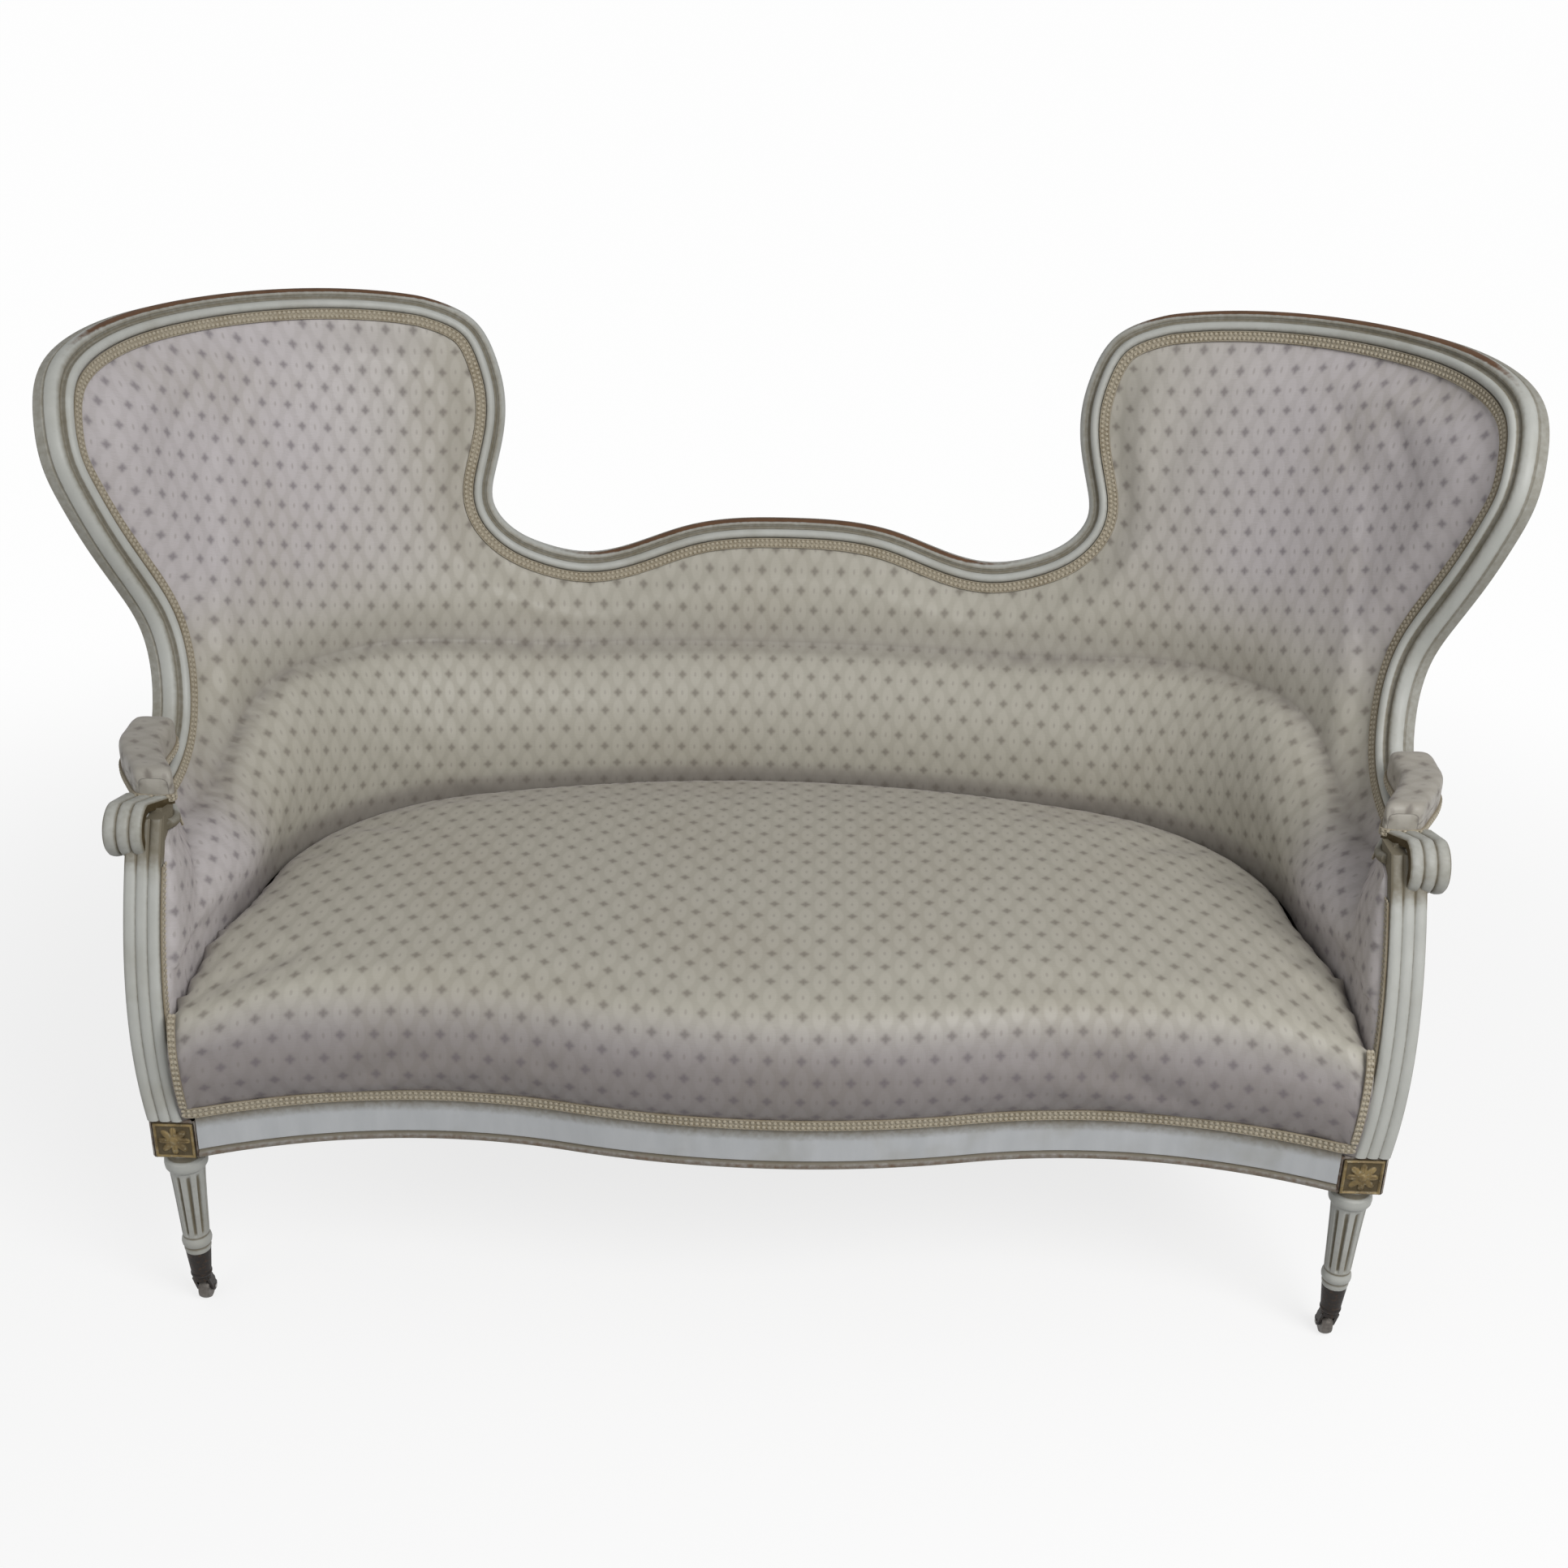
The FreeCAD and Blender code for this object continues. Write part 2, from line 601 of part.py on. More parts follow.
leg_slots = []
for side in (1, -1):
    slot = doc.addObject("Part::Box", "leg_slot")
    slot.setExpression("Length", "Dimensions.back_leg_width")
    slot.setExpression("Width", "Dimensions.back_leg_width")
    slot.Height = 400
    angle = 90 - side * math.degrees(turn)
    slot_place = plumb(side * drawn_bow, 0, rail_middle)
    corner = Rotation(Vector(0, 0, 1), angle).multVec(Vector(-half_leg, -half_leg, 0))
    slot.Placement = Placement(slot_place + corner, Rotation(Vector(0, 0, 1), angle))
    leg_slots.append(slot)


def ring_body(label, centre, radius, inner, outer, low, high, start, sweep):
    """Part of a ring about an upright axis, between two offsets from the tub line."""
    body = doc.addObject("PartDesign::Body", label)
    body.Placement = Placement(centre, Rotation(Vector(0, 0, 1), start))
    sketch = new_sketch(body, label + "_section", "XZ_Plane")
    draw(sketch, (radius + inner, low), [[(radius + outer, low)], [(radius + outer, high)],
                                         [(radius + inner, high)], [(radius + inner, low)]])
    feature = revolve(body, sketch)
    feature.Angle = sweep
    return body


def cut_from(label, base, tool):
    feature = doc.addObject("Part::Cut", label)
    feature.Base = base
    feature.Tool = tool
    return feature


degrees = math.degrees(turn)
back_rail_ring = ring_body("back_rail_ring", bow_centre, bow_radius, rail_inner, rail_outer,
                           rail_bottom, rail_top, 90 - degrees, 2 * degrees)
back_rail_half = cut_from("back_rail_half", back_rail_ring, leg_slots[0])
keep(cut_from("back_rail", back_rail_half, leg_slots[1]), "back_rail")
side_corner = ring_body("side_corner", corner_centre, corner_radius, rail_inner, rail_outer,
                        rail_bottom, rail_top, 0, 90 - degrees)
side_run = doc.addObject("Part::Box", "side_run")
side_run.setExpression("Length", "Dimensions.rail_thickness")
side_run.Width = corner_centre.y - (leg_y + block / 2)
side_run.setExpression("Height", "Dimensions.rail_height")
side_corner_point = Vector(tub_half_width + rail_inner, leg_y + block / 2, rail_bottom)
side_run.Placement = Placement(side_corner_point, Rotation())
side_joined = doc.addObject("Part::Fuse", "side_joined")
side_joined.Base = side_corner
side_joined.Tool = side_run
side_rail = keep(cut_from("side_rail_right", side_joined, leg_slots[0]), "side_rail_right")
add_mirror("side_rail_left", side_rail)

# Uprights hidden in the back: two under the valleys, two under the arms, and a tack rail between.
upright_half = size("upright_thickness") / 2
upright_foot = rail_middle - upright_half
upright_rise = valley - rail_top
upright_back = size("upright_lean") * (valley - size("upright_level"))


def upright_front(height):
    """Offset from the tub line of the front face of the uprights."""
    return upright_foot + upright_back * (height - rail_top) / upright_rise


def upright(along, top):
    half = size("upright_width") / 2
    point, out = tub(along)
    across = Vector(-out.y, out.x, 0)

    def corner(sideways, depth, height):
        return point + across * sideways + out * (upright_front(height) + depth) + Vector(0, 0, height)

    wires = []
    for height in (rail_top, top):
        ends = [corner(-half, 0, height), corner(half, 0, height),
                corner(half, 2 * upright_half, height), corner(-half, 2 * upright_half, height)]
        wires.append(polygon(ends))
    return Part.makeLoft(wires, True, True)


valley_under = valley - size("frame_width") - 0.26 * size("frame_depth") - 1
add_pair("back_upright", upright(knots[2].x, valley_under))
wing_upright_place = arm_start + 45
wing_upright_top = arm_top - size("frame_width") - 4
add_pair("wing_upright", upright(wing_upright_place, wing_upright_top))

tack_low, tack_high = rail_top + 61, rail_top + 96
tack_inner = upright_front(tack_high) + 1
tack_reach = math.degrees(turn * knots[2].x / drawn_bow
                          - (0.5 * size("upright_width") + 0.5) / (bow_radius + tack_inner))
tack_rail = ring_body("back_tack_rail", bow_centre, bow_radius, tack_inner, tack_inner + 20,
                      tack_low, tack_high, 90 - tack_reach, 2 * tack_reach)
keep(tack_rail, "back_tack_rail")

# Corner blocks behind the front legs, each with two screws into the rails.
side_face = tub_half_width + rail_inner - 0.3
block_back = size("rail_thickness") + 2
toe = side_face - 84
corner_plan = [(side_face, front_y(side_face, block_back)), (side_face, leg_y + block / 2 + 70),
               (toe, front_y(toe, block_back))]
corner_points = [Vector(x, y, rail_bottom + 8) for x, y in corner_plan]
corner_block = Part.Face(polygon(corner_points)).extrude(Vector(0, 0, size("rail_height") - 18))
add_both("corner_blocks", corner_block)
long_face = (corner_points[2] - corner_points[1]).normalize()
screw_way = Vector(-long_face.y, long_face.x, 0)
if screw_way.y > 0:
    screw_way = screw_way * -1
screws = []
for share in (0.35, 0.65):
    mouth = corner_points[1] + (corner_points[2] - corner_points[1]) * share + Vector(0, 0, 20)
    shank = Part.makeCylinder(2.2, 55, mouth, screw_way)
    head = Part.makeCone(4.2, 4.8, 2.5, mouth - screw_way * 2.5, screw_way)
    screws.append(shank.fuse(head))
add_both("corner_block_screws", *screws)


# Plan of the seat inside the tub line, used for the cover, the stuffing, the canvas and the dust cover.
def seat_plan(offset, back, low, high, open_front=False):
    """Slab inside the tub line moved by offset, its front on the serpentine line moved back."""
    half = tub_half_width + offset
    side_y = corner_centre.y
    half_way = turn / 2 + math.pi / 4
    slanting = Vector(math.sin(half_way), math.cos(half_way), 0)
    corner_middle = corner_centre + slanting * (corner_radius + offset)
    joint = bow_centre + Vector(math.sin(turn), math.cos(turn), 0) * (bow_radius + offset)

    def flip(point):
        return Vector(-point.x, point.y, point.z)

    base = Vector(0, 0, low)
    right, left = Vector(half, side_y, low), Vector(-half, side_y, low)
    joint, corner_middle = joint + base, corner_middle + base
    rear = bow_centre + Vector(0, bow_radius + offset, low)
    steps = [(corner_middle, joint), (rear, flip(joint)), (flip(corner_middle), left)]
    if open_front:
        far = -2 * size("leg_front")
        steps += [(Vector(-half, far, low),), (Vector(half, far, low),), (right,)]
    else:
        line = [Vector(x, y, low) for x, y in serpentine(half, back)]
        steps += [(line[0],), (line[1], line[2]), (line[3], line[4]), (line[5], line[6]), (right,)]
    return Part.Face(outline(right, steps)).extrude(Vector(0, 0, high - low))


seat_gap = size("seat_gap")
seat_low = rail_top + 0.3
edge_height = size("seat_edge_height")
crown = size("seat_crown")
overhang = size("seat_overhang")


def seat_form(inset, low):
    """Crowned seat with a swelling front that follows the serpentine rail."""
    half = tub_half_width
    places = [-half, -0.78 * half, -0.56 * half, -0.33 * half, 0, 0.33 * half, 0.56 * half, 0.78 * half, half]
    wires = []
    for x in places:
        front = front_y(min(abs(x), rail_end)) + 2 + inset
        edge = edge_height - inset
        proud = overhang * (1 - 0.7 * smooth(0.7, 1.0, abs(x) / half))
        swell = (crown - edge_height) * (1 - 0.75 * (x / half) ** 2)
        rear = tub_depth + 40
        middle = (front + rear) / 2

        def place(y, z):
            return Vector(x, y, z)

        wires.append(outline(place(front, low), [
            (place(front - proud, low + 0.6 * (edge - low)), place(front + 26, edge)),
            (place(middle, edge + swell), place(rear, edge + 0.2 * swell)),
            (place(rear, low),),
            (place(front, low),)]))
    plan = seat_plan(-seat_gap - inset, 0, low - 1, crown + 40, True)
    return Part.makeLoft(wires, True, False).common(plan)


thickness = size("cover_thickness")
cover_outer = seat_form(0, seat_low)
cover_inner = seat_form(thickness, seat_low - 6)
add_shape("seat_cover", cover_outer.cut(cover_inner))
canvas_low = size("canvas_height")
canvas_high = canvas_low + 1.5
stuffing = seat_form(thickness + 0.4, seat_low - 6)
above_canvas = Part.makeBox(4 * tub_half_width, 4 * tub_half_width, 400,
                            Vector(-2 * tub_half_width, -2 * tub_half_width, canvas_high + 0.3))
add_shape("seat_stuffing", stuffing.common(above_canvas))
add_shape("spring_canvas", seat_plan(-seat_gap - thickness - 0.4, 7, canvas_low, canvas_high))

# Webbing under the rails, coil springs on it, dust cover and its tacks below.
strap = size("webbing_thickness")
strap_width = size("webbing_width")
strap_count = int(size("strap_count"))
inside_half = tub_half_width + rail_inner
strap_step = 2 * (inside_half - 130) / (strap_count - 1)


def rear_y(x, offset):
    """Y of the back of the tub line moved by offset."""
    x = abs(x)
    joint = (bow_radius + offset) * math.sin(turn)
    centre, radius = (bow_centre, bow_radius) if x < joint else (corner_centre, corner_radius)
    return centre.y + math.sqrt((radius + offset) ** 2 - (x - centre.x) ** 2)


straps = []
for i in range(strap_count):
    x = (i - (strap_count - 1) / 2) * strap_step
    ends = [front_y(x + d, 10) for d in (-0.5 * strap_width, 0.5 * strap_width)]
    rears = [rear_y(x + d, rail_middle) for d in (-0.5 * strap_width, 0.5 * strap_width)]
    low_y, high_y = max(ends), min(rears)
    corner = Vector(x - strap_width / 2, low_y, rail_bottom - strap)
    straps.append(Part.makeBox(strap_width, high_y - low_y, strap, corner))
add_shape("webbing_front_to_back", Part.makeCompound(straps))
cross_straps = []
for i in range(3):
    y = leg_y + block + 60 + i * 120
    reach = tub_half_width + rail_middle
    past = y + strap_width - corner_centre.y
    if past > 0:
        reach = corner_centre.x + math.sqrt((corner_radius + rail_middle) ** 2 - past ** 2)
    corner = Vector(-reach, y, rail_bottom - 2 * strap)
    cross_straps.append(Part.makeBox(2 * reach, strap_width, strap, corner))
add_shape("webbing_side_to_side", Part.makeCompound(cross_straps))

spring_radius = size("spring_radius")
wire_radius = size("spring_wire")
spring_low = rail_bottom + wire_radius + 0.2
spring_high = canvas_low - wire_radius - 0.3
half_turns = 2 * int(size("spring_turns"))
half_rise = (spring_high - spring_low) / half_turns
coil = []
for i in range(half_turns):
    side = 1 if i % 2 == 0 else -1
    begin = Vector(side * spring_radius, 0, i * half_rise)
    end = Vector(-side * spring_radius, 0, (i + 1) * half_rise)
    reach = math.hypot(spring_radius, half_rise / 2)
    coil.append(Part.Arc(begin, Vector(0, side * reach, (i + 0.5) * half_rise), end).toShape())
wire_ring = Part.Wire(Part.makeCircle(wire_radius, Vector(spring_radius, 0, 0), Vector(0, 1, 0)))
spring = Part.Wire(coil).makePipeShell([wire_ring], True, False)
springs = []
for i in range(1, strap_count - 1):
    x = (i - (strap_count - 1) / 2) * strap_step
    for y in (-0.42 * tub_depth, 0.22 * tub_depth):
        springs.append(spring.translated(Vector(x, y - 40, spring_low)))
add_shape("seat_springs", Part.makeCompound(springs))

dust_high = rail_bottom - 2 * strap - 0.1
dust_low = dust_high - 1.2
dust = seat_plan(rail_middle, size("rail_thickness") / 2, dust_low, dust_high)
for side in (1, -1):
    slot = leg_slots[0] if side == 1 else leg_slots[1]
    clear = Part.makeBox(2 * half_leg + 1, 2 * half_leg + 1, 400)
    turned = slot.Placement.Rotation
    clear.Placement = Placement(slot.Placement.Base - turned.multVec(Vector(0.5, 0.5, 0)), turned)
    block_corner = Vector(side * leg_x - block / 2 - 0.5, leg_y - block / 2 - 0.5, 0)
    dust = dust.cut(clear).cut(Part.makeBox(block + 1, block + 1, 400, block_corner))
add_shape("dust_cover", dust)
tacks = []
for i in range(-7, 8):
    x = 76 * i * tub_half_width / 655
    for y in (front_y(x, size("rail_thickness") / 2 + 6), rear_y(x, rail_middle - 6)):
        tack = Part.makeCone(4.0, 2.6, 1.4, Vector(x, y, dust_low), Vector(0, 0, -1))
        if abs(abs(x) - leg_place.x) > half_leg + 25 or y < 0:
            tacks.append(tack)
add_shape("dust_cover_tacks", Part.makeCompound(tacks))


# Lower back roll: one swelling section that runs round the tub at seat level, falling to the arms.
def ridge(along):
    """Height of the top of the lower roll."""
    along = abs(along)
    lumbar, shoulder = size("lumbar_height"), size("shoulder_height")
    rising = lumbar + (shoulder - lumbar) * smooth(250, 540, along)
    return rising + (size("side_pad_height") - rising) * smooth(640, 830, along)


def roll_wire(along):
    """Section of the roll in the upright plane square to the tub line."""
    top = ridge(along)
    low = seat_low + 20
    near_post = smooth(930, 985, abs(along))
    front = -seat_gap + 0.7
    back_low = upright_front(low) - 1.0
    back_high = upright_front(top + 12) - 1.0
    post_face = post_centre(0.1).x - post_width / 2 - size("braid_thickness") - 1.5 - tub_half_width
    post_face_high = post_centre(0.85).x - post_width / 2 - size("braid_thickness") - 1.5 - tub_half_width
    back_low = back_low + (post_face - back_low) * near_post
    back_high = back_high + (post_face_high - back_high) * near_post
    swell = size("lumbar_swell") * (1 - 0.5 * near_post)
    lip = front + 0.55 * (leaned(top) - leaned(level)) * (1 - near_post)

    def place(out, height):
        return plumb(along, height, out)

    shoulder = top - 10
    return outline(place(front, low), [
        (place(front, crown - 6),),
        (place(front - swell, 0.5 * (crown - 6 + shoulder)), place(lip, shoulder)),
        (place(0.5 * (lip + back_high), top + 8), place(back_high, top + 12)),
        (place(back_low, low),),
        (place(front, low),)])


def roll(stations):
    return Part.makeLoft([roll_wire(along) for along in stations], True, False)


add_shape("lower_back_roll", roll([-340, -260, -170, -85, 0, 85, 170, 260, 340]))
roll_turn = roll([341, 390, 440, 500, 560, 620, 680, 740, 800, 860, 900, 930, 945, 960, 975, 990])
roll_front = Part.Face(roll_wire(990)).extrude(plumb(1085, 0, 0) - plumb(990, 0, 0))
add_pair("side_roll", roll_turn.fuse(roll_front))

# Upper back panel between the roll and the crest.
cover_edge = size("frame_width") + size("soft_gap")


def inside_line(first, last, distance):
    """Points of the show-wood's inner edge on the opened-out tub, as (along, height)."""
    begin, end = knot_parameter(first), show_line.LastParameter if last is None else knot_parameter(last)
    points = []
    for i in range(161):
        parameter = begin + (end - begin) * i / 160
        here = show_line.value(parameter)
        scale = stretch(here.x)
        run = show_line.tangent(parameter)[0]
        run = Vector(run.x * scale, run.y, 0).normalize()
        points.append((here.x + run.y * distance / scale, here.y - run.x * distance))
    return points


def read_line(points, value, column):
    """Other coordinate of a line at a value of one coordinate, from the nearest two points."""
    other = 1 - column
    for low, high in zip(points, points[1:]):
        first, last = low[column], high[column]
        if min(first, last) <= value <= max(first, last) and first != last:
            return low[other] + (value - first) / (last - first) * (high[other] - low[other])
    return min(points, key=lambda point: abs(point[column] - value))[other]


crest_inside = inside_line(0, 5, cover_edge + 0.4)
panel_half = 318
wing_start = 332
outside_top = size("shoulder_height") + 38


def sink(depth):
    """How much lower the show-wood stands at a depth behind its front, because it leans."""
    return depth * lean / math.sqrt(1 + lean * lean)


def panel_wire(along, behind, ahead, swell):
    """Upright section of the middle panel, between two levels in front of the tub surface."""
    low = ridge(along) + 17 if swell else outside_top + 1
    high = read_line(crest_inside, abs(along), 0) - (sink(10) if swell else sink(-behind))
    middle = 0.5 * (low + high - 15)

    def place(height, front):
        return on_tub(along, height, -front)

    if not swell:
        return polygon([place(low, behind), place(high, behind), place(high, ahead), place(low, ahead)])
    rear_low = plumb(along, low, upright_front(low) - 0.8)
    rear_high = plumb(along, high, upright_front(high) - 0.8)
    return outline(rear_low, [
        (rear_high,), (place(high, -4),), (place(high - 15, -1),),
        (place(middle, ahead), place(low, 8)), (rear_low,)])


panel_places = [share * panel_half for share in (-1, -0.75, -0.5, -0.25, 0, 0.25, 0.5, 0.75, 1)]
upper_wires = [panel_wire(along, 0, 24, True) for along in panel_places]
add_shape("upper_back_pad", Part.makeLoft(upper_wires, True, False))
outside_wires = [panel_wire(along, -31.5, -29.5, False) for along in panel_places]
add_shape("outside_crest_cover", Part.makeLoft(outside_wires, True, False))

# Wing panels: level sections between the inner edges of the swoop and of the stile.
swoop_inside = inside_line(3, 13, cover_edge + 1)
stile_inside = inside_line(13, 22, cover_edge + 1)
wing_low = size("shoulder_height") + 20
wing_top = size("wing_height") - cover_edge
wing_rise = wing_top - wing_low
level_shares = [0.0, 0.13, 0.27, 0.42, 0.58, 0.74, 0.86, 0.92, 0.955]
wing_levels = [wing_low + share * wing_rise for share in level_shares]


def wing_span(height):
    """First and last place along the tub that a level section of the wing may fill."""
    inner = max(read_line(swoop_inside, height, 1), wing_start)
    return inner, read_line(stile_inside, height, 1)


def wing_wire(height, behind, swell):
    inner, outer = wing_span(height)
    deep_inner, deep_outer = wing_span(height + sink(-behind))
    deep_inner, deep_outer = max(inner, deep_inner), min(outer, deep_outer)
    if not swell:
        inner, outer = deep_inner, deep_outer
    shares = [0, 0.1, 0.25, 0.42, 0.58, 0.75, 0.9, 1]
    ahead, back = [], []
    for share in shares:
        along = inner + share * (outer - inner)
        edge = min(along - inner, outer - along, wing_top - height, 2.0 * (height - wing_low) + 40)
        front = -4 + (swell + 4) * smooth(12, 115, edge) if swell else behind + 2.0
        ahead.append(on_tub(along, height, -front))
        back.append(on_tub(deep_inner + share * (deep_outer - deep_inner), height, -behind))
    edges = []
    for line in (ahead, list(reversed(back))):
        curve = Part.BSplineCurve()
        curve.interpolate(line)
        edges.append(curve.toShape())
    edges.insert(1, Part.LineSegment(ahead[-1], back[-1]).toShape())
    edges.append(Part.LineSegment(back[0], ahead[0]).toShape())
    return Part.Wire(edges)


add_pair("wing_pad", Part.makeLoft([wing_wire(h, -16, size("wing_swell")) for h in wing_levels], True, False))
outside_levels = [outside_top + 1] + [height for height in wing_levels[:-1] if height > outside_top + 20]
add_pair("outside_wing_cover", Part.makeLoft([wing_wire(h, -31.5, 0) for h in outside_levels], True, False))


# Outside cover: from the seat rails up to the arms and the upper covers, its front edge along the post.
post_slant = along_at(leg_y + block / 2 + 2) - 1000


def outside_wire(along):
    full = outside_top - 3
    under_arm = arm_top - size("frame_width") - 14 - 20 * smooth(900, 980, abs(along))
    top = full + (under_arm - full) * smooth(715, 800, abs(along))
    low = rail_bottom + 6
    turned = smooth(880, 1000, abs(along))
    slope = (leaned(full) + 29.5 - rail_outer - 0.4) / (full - low)
    reach = rail_outer + 0.4 + slope * (top - low) * (1 - turned) + 26 * turned
    foot = along + math.copysign(post_slant * smooth(905, 1000, abs(along)), along)
    inner = [plumb(foot, low, rail_outer + 0.4), plumb(along, top, reach)]
    outer = [plumb(along, top, reach + 2), plumb(foot, low, rail_outer + 2.4)]
    return polygon(inner + outer)


round_places = [110, 220, 330, 433, 490, 550, 610, 655, 690, 715]
round_places = [-along for along in reversed(round_places)] + [0] + round_places
round_cover = Part.makeLoft([outside_wire(along) for along in round_places], True, False)
flap_places = [715 + 15 * i for i in range(20)]
flap = Part.makeLoft([outside_wire(along) for along in flap_places], True, True)
add_shape("outside_back_cover", round_cover.multiFuse([flap, flap.mirror(Vector(0, 0, 0), Vector(1, 0, 0))]))


# Padded armrest on each arm, on a welt of braid.
def armpad_wire(along, grow, low, height):
    """Level-bottomed section with an arched top over the middle of the arm."""
    half = 0.5 * size("armpad_width") * grow
    point, out = tub(along)
    middle = point + out * (leaned(arm_top) + turn_in(along) + 0.5 * size("frame_depth"))

    def place(across, up):
        return middle + out * across + Vector(0, 0, low + up)

    return outline(place(-half, 0), [(place(-half, 0.3 * height),),
                                     (place(0, height), place(half, 0.3 * height)),
                                     (place(half, 0),), (place(-half, 0),)])


pad_places = [838, 850, 875, 910, 945, 968, 978]
pad_grow = [0.62, 0.9, 1.0, 1.0, 0.92, 0.8, 0.6]
pad_height = size("armpad_height")
arm_line = inside_line(22, None, 0)
pad_floors = [read_line(arm_line, s, 0) - sink(20) + 2.4 for s in pad_places]
welt_wires = [armpad_wire(s, 1.06 * g, low, 4.0) for s, g, low in zip(pad_places, pad_grow, pad_floors)]
add_both("arm_pad_braid", Part.makeLoft(welt_wires, True, False))
pad_wires = []
for s, grow, low in zip(pad_places, pad_grow, pad_floors):
    pad_wires.append(armpad_wire(s, grow, low + 4.3, pad_height * (0.45 + 0.55 * grow)))
add_pair("arm_pad", Part.makeLoft(pad_wires, True, False))

# Braid along the foot of the seat front.
braid_face = serpentine(rail_end - 2, -size("braid_thickness") - 0.2)
braid_rear = serpentine(rail_end - 2, -0.2)
braid_line = [Vector(x, y, rail_top - 8) for x, y in braid_face + braid_rear]
face, rear = braid_line[:7], braid_line[7:]
braid_plan = outline(face[0], [
    (face[1], face[2]), (face[3], face[4]), (face[5], face[6]), (rear[6],),
    (rear[5], rear[4]), (rear[3], rear[2]), (rear[1], rear[0]), (face[0],)])
add_shape("seat_braid", Part.Face(braid_plan).extrude(Vector(0, 0, size("braid_width"))))

doc.recompute()
faults = []
for item in doc.Objects:
    if "Invalid" in item.State or "Error" in item.State:
        faults.append(item.Label)
for node in nodes:
    if node.Shape.isNull() or not node.Shape.isValid() or not node.Shape.Solids:
        faults.append(node.Label)
if faults:
    raise RuntimeError("not built: " + ", ".join(faults))
os.makedirs("parts", exist_ok=True)
for node in nodes:
    node.Shape.exportStep("parts/%s.step" % node.Label)
print(len(nodes), "nodes")
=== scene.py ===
import math

import bmesh
import bpy
import numpy as np
from mathutils import Matrix, Vector, geometry


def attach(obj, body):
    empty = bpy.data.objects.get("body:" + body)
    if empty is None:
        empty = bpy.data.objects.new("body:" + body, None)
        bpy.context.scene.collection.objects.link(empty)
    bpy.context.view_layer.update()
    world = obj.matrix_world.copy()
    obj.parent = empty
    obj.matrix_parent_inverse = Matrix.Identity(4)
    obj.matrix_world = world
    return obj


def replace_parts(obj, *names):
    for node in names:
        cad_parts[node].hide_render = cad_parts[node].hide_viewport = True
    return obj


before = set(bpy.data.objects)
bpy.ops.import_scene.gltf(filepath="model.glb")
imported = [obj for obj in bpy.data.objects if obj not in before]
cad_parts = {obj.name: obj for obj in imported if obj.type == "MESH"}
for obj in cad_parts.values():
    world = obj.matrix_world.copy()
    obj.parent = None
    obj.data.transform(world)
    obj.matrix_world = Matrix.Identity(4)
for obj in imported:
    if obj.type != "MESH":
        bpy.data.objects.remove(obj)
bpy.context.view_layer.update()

# Hidden frame: the seat rails, the uprights of the back, the tack rail and the corner blocks.
# They are plain sawn beech, glued and screwed, and only their lower edges are ever seen.


def tone(red, green, blue):
    """Colour given in 0 to 255 screen values, as linear light."""
    shares = [level / 255 for level in (red, green, blue)]
    linear = [s / 12.92 if s <= 0.04045 else ((s + 0.055) / 1.055) ** 2.4 for s in shares]
    return (*linear, 1.0)


class Wired:
    """A shader socket that stands in Python arithmetic: each operation adds one Math node."""

    def __init__(self, finish, socket):
        self.finish = finish
        self.socket = socket

    def math(self, operation, *values):
        return self.finish.node("Math", dict(enumerate(values)), operation=operation)

    def __add__(self, other):
        return self.math("ADD", self, other)

    def __sub__(self, other):
        return self.math("SUBTRACT", self, other)

    def __rsub__(self, other):
        return self.math("SUBTRACT", other, self)

    def __mul__(self, other):
        return self.math("MULTIPLY", self, other)

    def __truediv__(self, other):
        return self.math("DIVIDE", self, other)

    def __pow__(self, other):
        return self.math("POWER", self, other)

    def __mod__(self, other):
        return self.math("FLOORED_MODULO", self, other)

    def __abs__(self):
        return self.math("ABSOLUTE", self)

    def __floor__(self):
        return self.math("FLOOR", self)

    __radd__ = __add__
    __rmul__ = __mul__


class Finish:
    """A material of one shader, with the nodes that vary it over the surface."""

    def __init__(self, name, constants):
        self.material = bpy.data.materials.new(name)
        self.material.use_nodes = True
        self.tree = self.material.node_tree
        self.shader = self.tree.nodes["Principled BSDF"]
        for socket, value in constants.items():
            self.shader.inputs[socket].default_value = value
        self.place = self.node("TexCoord", output="Object")

    def node(self, kind, values=None, output=0, **settings):
        """New node: its settings first, then the values or links of its sockets."""
        node = self.tree.nodes.new("ShaderNode" + kind)
        for name, value in settings.items():
            setattr(node, name, value)
        for socket, value in (values or {}).items():
            if isinstance(value, Wired):
                self.tree.links.new(value.socket, node.inputs[socket])
            else:
                node.inputs[socket].default_value = value
        return Wired(self, node.outputs[output])

    def mix(self, share, first, second):
        return self.node("Mix", {0: share, 6: first, 7: second}, 2, data_type="RGBA")

    def fade(self, value, low, high):
        """0 below low, 1 above high, and smooth between."""
        return self.node("MapRange", {0: value, 1: low, 2: high}, interpolation_type="SMOOTHSTEP")

    def noise(self, scale, detail=3.0, stretch=(1, 1, 1), where=None):
        where = self.node("VectorMath", {0: where or self.place, 1: stretch}, operation="MULTIPLY")
        return self.node("TexNoise", {"Vector": where, "Scale": scale, "Detail": detail})

    def attribute(self, name):
        return self.node("Attribute", output="Fac", attribute_name=name)

    def bump(self, height, depth):
        self.set("Normal", self.node("Bump", {"Height": height, "Distance": depth}, output="Normal"))

    def set(self, socket, value):
        self.tree.links.new(value.socket, self.shader.inputs[socket])


def finish_nodes(finish, *names):
    """Give CAD nodes that keep their shape a finish."""
    for name in names:
        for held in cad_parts[name].material_slots:
            held.material = finish.material


